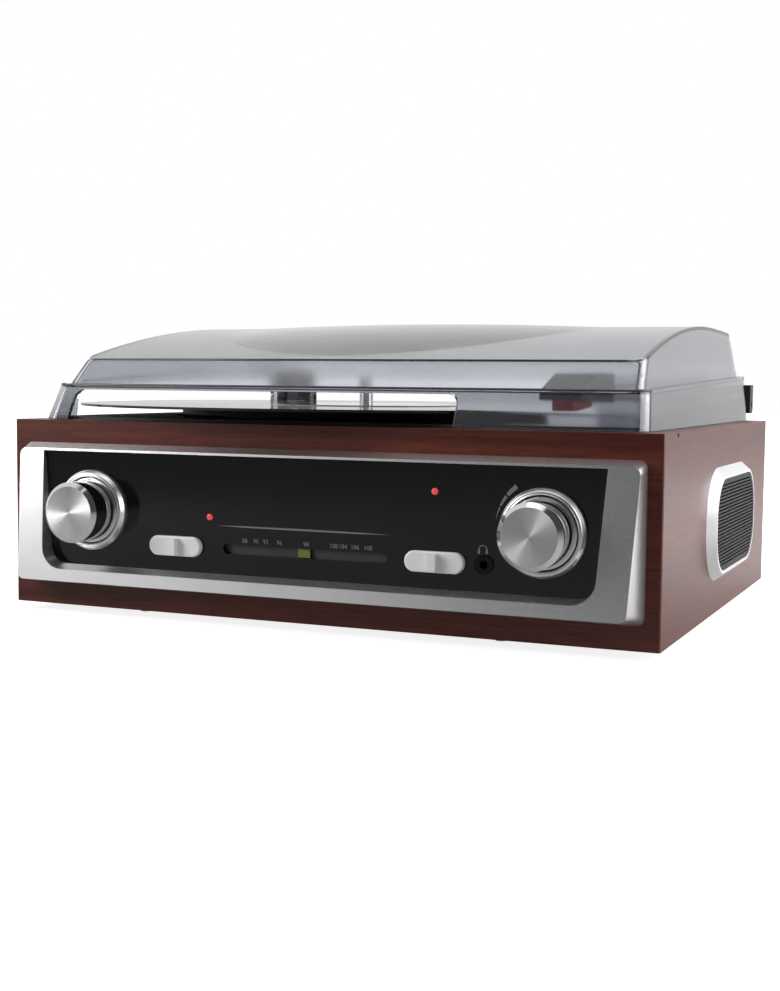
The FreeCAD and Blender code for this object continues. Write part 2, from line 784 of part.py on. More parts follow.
def make_base():
    """Base panel with vents, its screws and its rubber feet."""
    piece = Piece("base_panel")
    width = f"{CAVITY_WIDTH} + 2 * base_rebate - 2 * clearance"
    depth = f"{CAVITY_DEPTH} + 2 * base_rebate - 2 * clearance"
    piece.pad(piece.polygon("XY_Plane", rectangle(width, depth)), "base_thickness")
    holes = piece.circles(
        "XY_Plane", "screw_radius + shaft_gap", screw_places(), "base_thickness + overrun"
    )
    piece.pocket(holes, "base_thickness + 2 * overrun")
    first = f"-{VENT_COUNT - 1} / 2 * vent_pitch"
    through = "base_thickness + 2 * overrun"
    add_vents(piece, "XY_Plane", "0", first, "base_thickness + overrun", "V_Axis", through)
    keep(piece.body, "base_panel")

    screws = []
    for x, y in screw_places():
        head = rod("screw_head_radius", "screw_head_height", x, y, "-screw_head_height")
        shank = rod("screw_radius", "base_thickness + screw_bite - clearance", x, y, "0")
        screws.append(fuse(head, shank))
    keep(group(*screws), "base_screws")

    feet = []
    for first in ("", "-"):
        for second in ("", "-"):
            foot = document.addObject("Part::Cone", "foot")
            bind(foot, "Radius1", "foot_tip_radius")
            bind(foot, "Radius2", "foot_radius")
            bind(foot, "Height", "foot_height")
            x = f"{first}(cabinet_width / 2 - foot_inset)"
            y = f"{second}(cabinet_depth / 2 - foot_inset)"
            place(foot, x, y, "-foot_height", NO_TURN)
            feet.append(foot)
    keep(group(*feet), "rubber_feet")


def add_vents(piece, plane, x, y, level, axis, depth):
    """A row of round-ended vent slots."""
    slot = piece.pocket(piece.pill(plane, "vent_length", "vent_width", x, y, level), depth)
    row = piece.body.newObject("PartDesign::LinearPattern", "vents")
    row.Originals = [slot]
    row.Direction = (slot.Profile[0], [axis])
    bind(row, "Length", f"{VENT_COUNT - 1} * vent_pitch")
    row.Occurrences = VENT_COUNT
    piece.body.Tip = row
    document.recompute()


def make_rear():
    """Rear panel with vents, line sockets and the lead's gland."""
    piece = Piece("rear_panel")
    outline = rectangle("rear_panel_width", "rear_panel_height", "0", "cabinet_height / 2")
    face = piece.polygon("XZ_Plane", outline, f"-({FRONT}) - rear_panel_thickness")
    piece.pad(face, "rear_panel_thickness")
    piece.round("rear_panel_round", endwise)
    depth = "rear_panel_thickness + 2 * overrun"
    inner = f"overrun - {FRONT}"
    jacks = [(x, "cabinet_height / 2") for x in jack_places()]
    piece.pocket(piece.circles("XZ_Plane", "jack_radius + shaft_gap", jacks, inner), depth)
    gland = [("inlet_x", "cabinet_height / 2")]
    piece.pocket(piece.circles("XZ_Plane", "inlet_radius + shaft_gap", gland, inner), depth)
    first = f"cabinet_height / 2 - {VENT_COUNT - 1} / 2 * vent_pitch"
    add_vents(piece, "XZ_Plane", "0", first, inner, "V_Axis", depth)
    keep(piece.body, "rear_panel")

    sockets = []
    behind = f"{FRONT} + rear_panel_thickness"
    middle = "cabinet_height / 2"
    for x in jack_places():
        start = f"{FRONT} - jack_inside"
        length = "jack_inside + rear_panel_thickness + jack_reach"
        shell = rod("jack_radius", length, x, start, middle, TO_REAR)
        flange = rod("jack_flange_radius", "jack_flange", x, behind, middle, TO_REAR)
        mouth = f"{behind} + jack_reach - jack_inside"
        bore = rod("jack_bore_radius", "jack_inside + overrun", x, mouth, middle, TO_REAR)
        sockets.append(cut(fuse(shell, flange), bore))
    keep(group(*sockets), "line_out_jacks")

    gland = turned([
        ("inlet_bore_radius", "0"),
        ("inlet_radius", "0"),
        ("inlet_radius", "inlet_inside + rear_panel_thickness"),
        ("inlet_flange_radius", "inlet_inside + rear_panel_thickness"),
        ("inlet_radius", "inlet_inside + rear_panel_thickness + inlet_flange"),
        ("inlet_bore_radius", "inlet_inside + rear_panel_thickness + inlet_flange"),
    ])
    keep(gland.body, "power_inlet", "inlet_x", f"{FRONT} - inlet_inside", middle, TO_REAR)


def jack_places():
    """Middles of the two line sockets."""
    return ["jack_x - jack_spacing / 2", "jack_x + jack_spacing / 2"]


def make_deck():
    """Deck plate with its pan, platter bearing and the openings for motor and speed selector."""
    piece = Piece("deck_plate")
    flange = piece.polygon("XY_Plane", rectangle("deck_width", "deck_depth"), "cabinet_height")
    piece.pad(flange, "deck_flange")
    piece.round("deck_round", upright)
    middle = [("platter_x", "platter_y")]
    pan = piece.circles("XY_Plane", "pan_radius + pan_wall", middle, f"{PAN_FLOOR} - pan_wall")
    piece.pad(pan, "pan_depth + pan_wall")
    above = f"{DECK_TOP} + overrun"
    piece.pocket(piece.circles("XY_Plane", "pan_radius", middle, above), "pan_depth + overrun")
    through = "pan_depth + pan_wall + 2 * overrun"
    piece.pocket(piece.circles("XY_Plane", "bearing_radius + shaft_gap", middle, above), through)
    piece.pocket(piece.circles("XY_Plane", "motor_hole_radius", [pulley_place()], above), through)
    slot = rectangle(
        "speed_stem_width + 2 * clearance",
        "speed_stem_length + 2 * speed_travel + 2 * clearance",
        "speed_x",
        "speed_y",
    )
    piece.pocket(piece.polygon("XY_Plane", slot, above), "deck_flange + 2 * overrun")
    keep(piece.body, "deck_plate")

    bearing = turned([
        ("journal_radius + shaft_gap", "-journal_length"),
        ("bearing_radius", "-journal_length"),
        ("bearing_radius", "0"),
        ("bearing_flange_radius", "0"),
        ("bearing_flange_radius", "bearing_flange"),
        ("bearing_radius", "bearing_rise"),
        ("journal_radius + shaft_gap", "bearing_rise"),
    ])
    keep(bearing.body, "platter_bearing", "platter_x", "platter_y", PAN_FLOOR)


def pulley_place():
    """Middle of the motor pulley."""
    across = "platter_x + pulley_distance * cos(pulley_bearing * 1 deg)"
    along = "platter_y + pulley_distance * sin(pulley_bearing * 1 deg)"
    return across, along


def make_platter():
    """Platter with its drive ring, mat, spindle and a record with a plain label."""
    underside = "platter_thickness - platter_web"
    platter = turned([
        ("spindle_radius + shaft_gap", "0"),
        ("hub_radius", "0"),
        ("hub_radius", underside),
        ("drive_radius - drive_wall", underside),
        ("drive_radius - drive_wall", "-drive_height"),
        ("drive_radius", "-drive_height"),
        ("drive_radius", underside),
        ("platter_radius - platter_rim", underside),
        ("platter_radius - platter_rim", "0"),
        ("platter_radius", "0"),
        ("platter_radius", "platter_thickness"),
        ("spindle_radius + shaft_gap", "platter_thickness"),
    ])
    keep(platter.body, "platter", "platter_x", "platter_y", PLATTER_UNDERSIDE)

    mat = turned([
        ("spindle_radius + shaft_gap", "0"),
        ("mat_radius", "0"),
        ("mat_radius", "mat_thickness"),
        ("spindle_radius + shaft_gap", "mat_thickness"),
    ])
    keep(mat.body, "platter_mat", "platter_x", "platter_y", f"{PLATTER_UNDERSIDE} + platter_thickness")

    record = turned([
        ("spindle_radius + shaft_gap", "0"),
        ("record_radius", "0"),
        ("record_radius", "record_thickness"),
        ("record_radius - record_bead_width", "record_thickness - record_bead"),
        ("label_radius + record_bead_width", "record_thickness - record_bead"),
        ("label_radius", "record_thickness"),
        ("spindle_radius + shaft_gap", "record_thickness"),
    ])
    keep(record.body, "vinyl_record", "platter_x", "platter_y", MAT_TOP)

    label = turned([
        ("spindle_radius + shaft_gap", "0"),
        ("label_radius", "0"),
        ("label_radius", "label_thickness"),
        ("spindle_radius + shaft_gap", "label_thickness"),
    ])
    keep(label.body, "record_label", "platter_x", "platter_y", RECORD_TOP)

    shoulder = f"{PLATTER_UNDERSIDE} - ({PAN_FLOOR})"
    tip = f"{RECORD_TOP} - ({PAN_FLOOR}) + spindle_rise"
    spindle = turned([
        ("0", "clearance - journal_length"),
        ("journal_radius", "clearance - journal_length"),
        ("journal_radius", f"{shoulder}"),
        ("spindle_radius", f"{shoulder}"),
        ("spindle_radius", f"{tip} - spindle_dome"),
        ("spindle_radius - spindle_dome", tip),
        ("0", tip),
    ])
    keep(spindle.body, "spindle", "platter_x", "platter_y", PAN_FLOOR)


def make_drive():
    """Motor under the pan, its pulley and the flat belt round the platter's drive ring."""
    across, along = pulley_place()
    belt_z = f"{PLATTER_UNDERSIDE} - (drive_height + belt_width) / 2"
    motor = turned([
        ("motor_shaft_radius + shaft_gap", "motor_height + motor_boss"),
        ("motor_shaft_radius + shaft_gap", "motor_height + motor_boss - motor_shaft_seat - clearance"),
        ("0", "motor_height + motor_boss - motor_shaft_seat - clearance"),
        ("0", "0"),
        ("motor_radius", "0"),
        ("motor_radius", "motor_height"),
        ("motor_boss_radius", "motor_height"),
        ("motor_boss_radius", "motor_height + motor_boss"),
    ])
    keep(motor.body, "drive_motor", across, along, f"{PAN_FLOOR} - pan_wall - motor_height")

    groove = "belt_width + 2 * clearance"
    foot = f"{belt_z} - clearance - pulley_flange"
    pulley = turned([
        ("0", f"{PAN_FLOOR} - pan_wall + motor_boss - motor_shaft_seat - ({foot})"),
        ("motor_shaft_radius", f"{PAN_FLOOR} - pan_wall + motor_boss - motor_shaft_seat - ({foot})"),
        ("motor_shaft_radius", "0"),
        ("pulley_flange_radius", "0"),
        ("pulley_flange_radius", "pulley_flange"),
        ("pulley_radius", "pulley_flange"),
        ("pulley_radius", f"pulley_flange + {groove}"),
        ("pulley_flange_radius", f"pulley_flange + {groove}"),
        ("pulley_flange_radius", f"2 * pulley_flange + {groove}"),
        ("0", f"2 * pulley_flange + {groove}"),
    ])
    keep(pulley.body, "motor_pulley", across, along, foot)

    inside = belt_face(size.drive_radius + size.clearance, size.pulley_radius + size.clearance)
    reach = size.clearance + size.belt_thickness
    outside = belt_face(size.drive_radius + reach, size.pulley_radius + reach)
    loop = outside.cut(inside).extrude(FreeCAD.Vector(0, 0, size.belt_width))
    aim = FreeCAD.Rotation(FreeCAD.Vector(0, 0, 1), size.pulley_bearing)
    keep(worked(loop), "drive_belt", "platter_x", "platter_y", belt_z, aim)


def belt_face(large, small):
    """Face inside a belt line round two pulleys, the large one at the origin and the small one along X."""
    distance = size.pulley_distance
    lean = math.acos((large - small) / distance)
    side = FreeCAD.Vector(math.cos(lean), math.sin(lean), 0)
    mirror = FreeCAD.Vector(math.cos(lean), -math.sin(lean), 0)
    ahead = FreeCAD.Vector(1, 0, 0)
    axle = ahead * distance
    edges = [
        Part.Arc(side * large, ahead * -large, mirror * large).toShape(),
        Part.LineSegment(mirror * large, axle + mirror * small).toShape(),
        Part.Arc(axle + mirror * small, axle + ahead * small, axle + side * small).toShape(),
        Part.LineSegment(axle + side * small, side * large).toShape(),
    ]
    return Part.Face(Part.Wire(edges))


def make_bezel():
    """Silver frame: bevelled to its ridge outside, and down to the black panel inside."""
    front = -size.cabinet_depth / 2
    lean = (size.ridge_bottom_proud - size.ridge_top_proud) / (size.ridge_top - size.ridge_bottom)

    def on_wall(x, z):
        return FreeCAD.Vector(x, front, z)

    def on_face(x, z):
        return FreeCAD.Vector(x, front - size.ridge_top_proud - lean * (size.ridge_top - z), z)

    def at_depth(proud):
        return lambda x, z: FreeCAD.Vector(x, front - proud, z)

    def trapezium(top_width, bottom_width, top, bottom, top_round, bottom_round):
        return [
            (-bottom_width / 2, bottom, bottom_round),
            (bottom_width / 2, bottom, bottom_round),
            (top_width / 2, top, top_round),
            (-top_width / 2, top, top_round),
        ]

    wall_outline = trapezium(
        size.bezel_width, size.bezel_width, size.bezel_top, size.bezel_bottom,
        size.bezel_corner, size.bezel_corner,
    )
    ridge_outline = trapezium(
        size.ridge_top_width, size.ridge_bottom_width, size.ridge_top, size.ridge_bottom,
        size.ridge_corner, size.ridge_corner,
    )
    foot = rounded_wire(wall_outline, on_wall)
    ridge = rounded_wire(ridge_outline, on_face)
    solid = Part.makeLoft([foot, ridge], True, True)

    panel_outline = trapezium(
        size.panel_top_width, size.panel_bottom_width, size.panel_top, size.panel_bottom, 0, size.panel_corner
    )
    rim_outline = trapezium(
        size.panel_top_width, size.panel_bottom_width + 2 * size.bevel_spread, size.panel_top,
        size.panel_bottom - size.bevel_drop, 0, size.bevel_corner,
    )
    seat = size.panel_proud - size.panel_thickness
    well = Part.Face(rounded_wire(panel_outline, at_depth(seat)))
    well = well.extrude(FreeCAD.Vector(0, -size.panel_thickness - size.ridge_bottom_proud, 0))
    inner_rim = rounded_wire(panel_outline, at_depth(size.panel_proud))
    bevel = Part.makeLoft([inner_rim, rounded_wire(rim_outline, on_face)], True, True)
    lip_outline = trapezium(
        size.panel_top_width - 2 * size.bezel_lip, size.panel_bottom_width - 2 * size.bezel_lip,
        size.panel_top - size.bezel_lip, size.panel_bottom + size.bezel_lip, 0, size.panel_corner,
    )
    window = Part.Face(rounded_wire(lip_outline, at_depth(-size.overrun)))
    window = window.extrude(FreeCAD.Vector(0, -seat - 2 * size.overrun, 0))
    solid = solid.cut(well.fuse([bevel, window])).removeSplitter()
    keep(worked(solid.Solids[0]), "fascia_bezel")


def make_panel():
    """Gloss black panel with its slots and holes, and the posts that carry the circuit board."""
    piece = Piece("dial_panel")
    inset = "shaft_gap"
    corners = [
        (f"{inset} - panel_bottom_width / 2", f"panel_bottom + {inset}"),
        (f"panel_bottom_width / 2 - {inset}", f"panel_bottom + {inset}"),
        (f"panel_top_width / 2 - {inset}", f"panel_top - {inset}"),
        (f"{inset} - panel_top_width / 2", f"panel_top - {inset}"),
    ]
    piece.pad(piece.polygon("XZ_Plane", corners, PANEL_REAR), "panel_thickness")
    piece.round("panel_corner", endwise, lambda edge: edge.BoundBox.ZMax < size.knob_z)
    posts = [(f"{sign}post_x", z) for sign in ("", "-") for z in ("post_low_z", "post_high_z")]
    feet = piece.circles("XZ_Plane", "post_radius", posts, PANEL_REAR)
    piece.pad(feet, f"{PANEL_REAR} - ({BOARD_FRONT})", True)

    before = f"{PANEL_FRONT} + overrun"
    through = "panel_thickness + 2 * overrun"
    shafts = [("knob_x", "knob_z"), ("-knob_x", "knob_z")]
    piece.pocket(piece.circles("XZ_Plane", "shaft_hole_radius", shafts, before), through)
    lamps = [("stereo_lamp_x", "stereo_lamp_z"), ("power_lamp_x", "power_lamp_z")]
    piece.pocket(piece.circles("XZ_Plane", "lamp_radius + shaft_gap", lamps, before), through)
    socket = [("socket_x", "socket_z")]
    piece.pocket(piece.circles("XZ_Plane", "socket_radius + shaft_gap", socket, before), through)
    piece.pocket(piece.pill("XZ_Plane", "dial_length", "dial_height", "0", "dial_z", before), through)
    for x in ("band_x", "function_x"):
        width = "stem_width + 2 * slider_travel + 2 * clearance"
        slot = rectangle(width, "stem_height + 2 * clearance", x, "slider_z")
        piece.pocket(piece.polygon("XZ_Plane", slot, before), through)
    keep(piece.body, "dial_panel")

    scale = Piece("dial_scale")
    plate = rectangle("dial_length + 2 * scale_margin", "dial_height + 2 * scale_margin", "0", "dial_z")
    scale.pad(scale.polygon("XZ_Plane", plate, f"{PANEL_REAR} - scale_thickness"), "scale_thickness")
    keep(scale.body, "dial_scale")

    pointer = Piece("dial_pointer")
    bar = rectangle("pointer_width", "dial_height - 2 * clearance", "0", "dial_z")
    pointer.pad(pointer.polygon("XZ_Plane", bar, f"{PANEL_REAR} + clearance"), "pointer_thickness")
    pointer.round("clearance", endwise)
    keep(pointer.body, "dial_pointer")


def make_knobs():
    """Knobs with their shafts, fixed rings, and the tuning capacitor and volume potentiometer behind."""
    length = f"knob_reach - panel_proud - clearance"
    seat = f"{length} - knob_wall"
    for name, x in (("tuning", "-knob_x"), ("volume", "knob_x")):
        ring = turned([
            ("ring_inner_radius", "0"),
            ("ring_radius", "0"),
            ("ring_radius", "ring_side"),
            ("ring_crown_radius", "ring_height"),
            ("ring_inner_radius", "ring_height - ring_side / 2"),
        ])
        ring.round("ring_round", lambda edge: edge.BoundBox.ZMin > size.ring_side - TOUCH)
        keep(ring.body, f"{name}_ring", x, f"-({PANEL_FRONT})", "knob_z", TO_FRONT)

        knob = turned([
            ("shaft_radius + shaft_gap", "0"),
            ("knob_flange_radius", "0"),
            ("knob_flange_radius", "knob_flange"),
            ("knob_radius", "knob_flange"),
            ("knob_radius", f"{length} - knob_chamfer"),
            ("knob_face_radius", length),
            ("0", length),
            ("0", seat),
            ("shaft_radius + shaft_gap", seat),
        ])
        knob.round(
            "ring_round",
            lambda edge: abs(edge.BoundBox.XMax - size.knob_flange_radius) < TOUCH,
            lambda edge: edge.BoundBox.ZMin > size.knob_flange - TOUCH,
        )
        knob_start = f"-({PANEL_FRONT}) - clearance"
        keep(knob.body, f"{name}_knob", x, knob_start, "knob_z", TO_FRONT)

        # The shaft starts in its control's bore and ends against the knob's blind bore.
        start = f"{BOARD_FRONT} + clearance"
        shaft_length = f"{PANEL_FRONT} + clearance + {seat} - ({start})"
        outline = [
            ("0", "0"),
            ("shaft_radius", "0"),
            ("shaft_radius", shaft_length),
            ("0", shaft_length),
        ]
        if name == "tuning":
            drum = "control_depth + clearance"
            outline[2:2] = [
                ("shaft_radius", drum),
                ("drum_radius", drum),
                ("drum_radius", f"{drum} + drum_width"),
                ("shaft_radius", f"{drum} + drum_width"),
            ]
        shaft = turned(outline)
        keep(shaft.body, f"{name}_shaft", x, f"-({start})", "knob_z", TO_FRONT)

    bore = rod("shaft_radius + shaft_gap", "control_depth + 2 * overrun", "-knob_x",
               f"overrun - ({BOARD_FRONT})", "knob_z", TO_FRONT)
    box = block("capacitor_side", "control_depth", "capacitor_side", "-knob_x",
                f"-({BOARD_FRONT}) - control_depth / 2", "knob_z - capacitor_side / 2")
    keep(cut(box, bore), "tuning_capacitor")
    potentiometer = turned([
        ("shaft_radius + shaft_gap", "0"),
        ("potentiometer_radius", "0"),
        ("potentiometer_radius", "control_depth / 2"),
        ("shaft_radius + 2 * clearance + shaft_gap", "control_depth"),
        ("shaft_radius + shaft_gap", "control_depth"),
    ])
    keep(potentiometer.body, "volume_potentiometer", "knob_x", f"-({BOARD_FRONT})", "knob_z", TO_FRONT)


def make_lamps_and_socket():
    """Two signal lamps seated behind the panel, and the headphone socket between panel and board."""
    for name in ("stereo", "power"):
        lamp = turned([
            ("0", "0"),
            ("lamp_flange_radius", "0"),
            ("lamp_flange_radius", "lamp_flange"),
            ("lamp_radius", "lamp_flange"),
            ("lamp_radius", "lamp_flange + panel_thickness + lamp_proud"),
            ("0", "lamp_flange + panel_thickness + lamp_proud"),
        ])
        lamp.round("lamp_round", level_at(size.lamp_flange + size.panel_thickness + size.lamp_proud))
        y = f"lamp_flange - ({PANEL_REAR})"
        keep(lamp.body, f"{name}_led", f"{name}_lamp_x", y, f"{name}_lamp_z", TO_FRONT)

    length = f"{PANEL_FRONT} - ({BOARD_FRONT})"
    socket = turned([
        ("0", "0"),
        ("socket_radius", "0"),
        ("socket_radius", length),
        ("socket_nut_radius", length),
        ("socket_nut_radius", f"{length} + socket_nut"),
        ("socket_bore_radius", f"{length} + socket_nut"),
        ("socket_bore_radius", f"{length} + socket_nut - socket_bore_depth"),
        ("0", f"{length} + socket_nut - socket_bore_depth"),
    ])
    keep(socket.body, "headphone_socket", "socket_x", f"-({BOARD_FRONT})", "socket_z", TO_FRONT)


def make_sliders():
    """Silver switch caps with a thumb ridge, and the switches that their stems work."""
    floor = f"{PANEL_FRONT} + clearance"
    face = size.cabinet_depth / 2 + size.panel_proud + size.clearance + size.slider_thickness
    for name, x in (("band", "band_x"), ("function", "function_x")):
        cap = Piece(f"{name}_slider")
        cap.pad(cap.pill("XZ_Plane", "slider_length", "slider_height", "0", "0", floor), "slider_thickness")
        cap.round("slider_round", lambda edge: abs(edge.BoundBox.YMax + face) < TOUCH)
        thumb = rectangle("thumb_width", "thumb_height")
        cap.pad(cap.polygon("XZ_Plane", thumb, f"{floor} + slider_thickness"), "thumb_reach")
        stem = rectangle("stem_width", "stem_height")
        reach = f"{floor} - ({BOARD_FRONT}) - control_depth - clearance"
        cap.pad(cap.polygon("XZ_Plane", stem, floor), reach, True)
        keep(cap.body, f"{name}_slider", x, "0", "slider_z")

        switch = block("switch_width", "control_depth", "switch_height", x,
                       f"-({BOARD_FRONT}) - control_depth / 2", "slider_z - switch_height / 2")
        keep(switch, f"{name}_switch", f"{x} - switch_width / 2", f"-({BOARD_FRONT}) - control_depth",
             "slider_z - switch_height / 2")


def make_board_and_transformer():
    """Circuit board behind the fascia, and the power transformer on the base panel."""
    board = block("board_width", "board_thickness", "board_height", "0", "board_y - board_thickness / 2",
                  "board_bottom")
    keep(board, "circuit_board", "-board_width / 2", "board_y - board_thickness", "board_bottom")

    x = "transformer_x"
    y = "transformer_y"
    foot = block("bracket_width", "core_depth", "bracket_thickness", x, y, "base_thickness")
    core = block("core_width", "core_depth", "core_height", x, y, "base_thickness")
    coil_z = "base_thickness + (core_height - coil_height) / 2"
    coil = block("coil_width", "coil_depth", "coil_height", x, y, coil_z)
    keep(fuse(foot, core, coil), "power_transformer")


def speaker_corners(inset):
    """Outline of a speaker frame, drawn in by an inset."""
    half_width = size.speaker_width / 2 - inset
    half_height = size.speaker_height / 2 - inset
    radius = size.speaker_corner - inset
    return box_corners(half_width, -half_height, half_height, radius)


def speaker_prism(inset, start, length):
    """Straight block on a speaker outline, along X."""
    wire = rounded_wire(speaker_corners(inset), lambda along, up: FreeCAD.Vector(start, along, up))
    return Part.Face(wire).extrude(FreeCAD.Vector(length, 0, 0))


def make_speakers():
    """Tapered silver frames, louvred grilles and drivers on both sides."""
    foot = rounded_wire(speaker_corners(0), lambda along, up: FreeCAD.Vector(0, along, up))
    crown = rounded_wire(
        speaker_corners(size.speaker_draft), lambda along, up: FreeCAD.Vector(size.speaker_proud, along, up)
    )
    inset = size.speaker_draft + size.speaker_lip
    frame = Part.makeLoft([foot, crown], True, True)
    frame = frame.cut(speaker_prism(inset, -size.overrun, size.speaker_proud + 2 * size.overrun))

    floor = size.speaker_proud - size.grille_step - size.grille_thickness
    plate = speaker_prism(inset + size.shaft_gap, floor, size.grille_thickness)
    bearer = speaker_prism(inset + size.shaft_gap, 0, floor)
    clear = inset + size.shaft_gap + size.grille_border
    bearer = bearer.cut(speaker_prism(clear, -size.overrun, floor + 2 * size.overrun))
    half = size.speaker_height / 2 - clear
    count = int(2 * half / size.louvre_pitch)
    gaps = []
    for index in range(count):
        low = (index - (count - 1) / 2) * size.louvre_pitch - size.louvre_gap / 2
        corner = FreeCAD.Vector(floor - size.overrun, -size.speaker_width / 2, low)
        depth = size.grille_thickness + 2 * size.overrun
        gaps.append(Part.makeBox(depth, size.speaker_width, size.louvre_gap, corner))
    inside = speaker_prism(clear, floor - size.overrun, size.grille_thickness + 2 * size.overrun)
    grille = plate.fuse(bearer).cut(inside.common(Part.makeCompound(gaps))).removeSplitter()

    for side, sign, turn, aim in (("right", "", NO_TURN, TO_RIGHT), ("left", "-", HALF_TURN, TO_LEFT)):
        wall = f"{sign}cabinet_width / 2"
        keep(worked(frame.Solids[0]), f"speaker_frame_{side}", wall, "speaker_y", "speaker_z", turn)
        keep(worked(grille.Solids[0]), f"speaker_grille_{side}", wall, "speaker_y", "speaker_z", turn)
        driver = turned([
            ("0", "-cone_depth"),
            ("dust_cap_radius", "-cone_depth"),
            ("cone_radius", "0"),
            ("driver_radius", "0"),
            ("driver_radius", "-driver_flange"),
            ("cone_radius", "-driver_flange"),
            ("basket_radius", "-basket_depth"),
            ("magnet_radius", "-basket_depth"),
            ("magnet_radius", "-basket_depth - magnet_depth"),
            ("0", "-basket_depth - magnet_depth"),
        ])
        keep(driver.body, f"speaker_driver_{side}", f"{sign}(cabinet_width / 2 - wood_wall)", "speaker_y",
             "speaker_z", aim)


def make_tonearm():
    """Base, swinging yoke, tipping arm with headshell, stylus and counterweight, and the arm's rest."""
    base = turned([
        ("yoke_pin_radius + shaft_gap", "arm_base_height"),
        ("yoke_pin_radius + shaft_gap", "arm_base_height - yoke_pin_length - clearance"),
        ("0", "arm_base_height - yoke_pin_length - clearance"),
        ("0", "0"),
        ("arm_base_radius", "0"),
        ("arm_base_radius", "arm_base_height / 2"),
        ("arm_base_top_radius", "arm_base_height"),
    ])
    keep(base.body, "tonearm_base", "arm_x", "arm_y", DECK_TOP)

    # Yoke and arm are drawn about the pivot with the arm towards the front, then turned to the parked angle.
    floor = "arm_base_height + clearance - arm_height"
    pin = rod("yoke_pin_radius", "yoke_pin_length", "0", "0", f"{floor} - yoke_pin_length")
    disc = rod("yoke_radius", "yoke_floor", "0", "0", floor)
    ear_x = "arm_block_width / 2 + clearance + yoke_ear / 2"
    ear_height = f"yoke_rise - ({floor})"
    right_ear = block("yoke_ear", "yoke_ear_depth", ear_height, ear_x, "0", floor)
    left_ear = block("yoke_ear", "yoke_ear_depth", ear_height, f"-({ear_x})", "0", floor)
    span = "arm_block_width + 2 * clearance + 2 * yoke_ear"
    trunnion = rod("trunnion_radius", span, f"-({span}) / 2", "0", "0", TO_RIGHT)
    keep(fuse(pin, disc, right_ear, left_ear, trunnion), "tonearm_yoke", "arm_x", "arm_y", ARM_Z, PARKED)

    body = block("arm_block_width", "arm_block_length", "arm_block_height", "0", "0", "-arm_block_height / 2")
    tube = rod("arm_tube_radius", "arm_tube_length", "0", "0", "0", TO_FRONT)
    stub_length = "arm_block_length / 2 + weight_gap + weight_length"
    stub = rod("trunnion_radius", stub_length, "0", "0", "0", TO_REAR)
    bore = rod("trunnion_radius + shaft_gap", span, f"-({span}) / 2", "0", "0", TO_RIGHT)
    keep(cut(fuse(body, tube, stub), bore), "tonearm_tube", "arm_x", "arm_y", ARM_Z, PARKED)

    weight = turned([
        ("trunnion_radius + shaft_gap", "0"),
        ("weight_radius", "0"),
        ("weight_radius", "weight_length"),
        ("trunnion_radius + shaft_gap", "weight_length"),
    ])
    weight.round("head_round", lambda edge: edge.BoundBox.XMax > size.weight_radius - TOUCH)
    behind = FreeCAD.Rotation(PARKED.multiply(TO_REAR))
    start = "(arm_block_length / 2 + weight_gap)"
    lean = "sin(arm_park_angle * 1 deg)"
    straight = "cos(arm_park_angle * 1 deg)"
    weight_x = f"arm_x + {start} * {lean}"
    weight_y = f"arm_y + {start} * {straight}"
    keep(weight.body, "counterweight", weight_x, weight_y, ARM_Z, behind)

    head = Piece("headshell")
    rear = "-arm_tube_length"
    nose = f"{rear} - head_length"
    profile = [
        (rear, "-head_floor_drop"),
        (nose, "-head_floor_drop"),
        (nose, "head_nose_height - head_floor_drop"),
        (f"{nose} + head_slope", "head_top_rise"),
        (rear, "head_top_rise"),
    ]
    shell = head.pad(head.polygon("YZ_Plane", profile), "head_width")
    shell.Midplane = True
    document.recompute()
    head.round("head_round", lambda edge: edge.BoundBox.XLength < TOUCH, lambda edge: edge.BoundBox.ZMax > 0)
    keep(head.body, "headshell", "arm_x", "arm_y", ARM_Z, PARKED)

    stylus = Piece("stylus")
    tip = f"{nose} + stylus_setback"
    depth = f"arm_height - head_floor_drop - ({RECORD_TOP} - ({DECK_TOP})) - label_thickness - clearance"
    wedge = [
        (f"{tip} + stylus_length", "-head_floor_drop"),
        (tip, "-head_floor_drop"),
        (tip, f"-head_floor_drop - ({depth})"),
        (f"{tip} + stylus_taper", f"-head_floor_drop - ({depth})"),
        (f"{tip} + stylus_length", f"-head_floor_drop - ({depth}) / 2"),
    ]
    carrier = stylus.pad(stylus.polygon("YZ_Plane", wedge), "stylus_width")
    carrier.Midplane = True
    document.recompute()
    keep(stylus.body, "stylus", "arm_x", "arm_y", ARM_Z, PARKED)

    # The rest cradles the arm from below and from its outer side only, so that the arm can swing in freely.
    cradle_top = "-arm_tube_radius - clearance"
    post_length = f"arm_height + {cradle_top} - rest_cradle"
    post = rod("rest_radius", post_length, "0", "-rest_distance", "-arm_height")
    width = "2 * (arm_tube_radius + clearance + rest_lip)"
    cradle = block(width, "rest_length", "rest_cradle", "0", "-rest_distance", f"{cradle_top} - rest_cradle")
    lip_x = "arm_tube_radius + clearance + rest_lip / 2"
    lip = block("rest_lip", "rest_length", "rest_lip_rise", lip_x, "-rest_distance", cradle_top)
    keep(fuse(post, cradle, lip), "arm_rest", "arm_x", "arm_y", ARM_Z, PARKED)


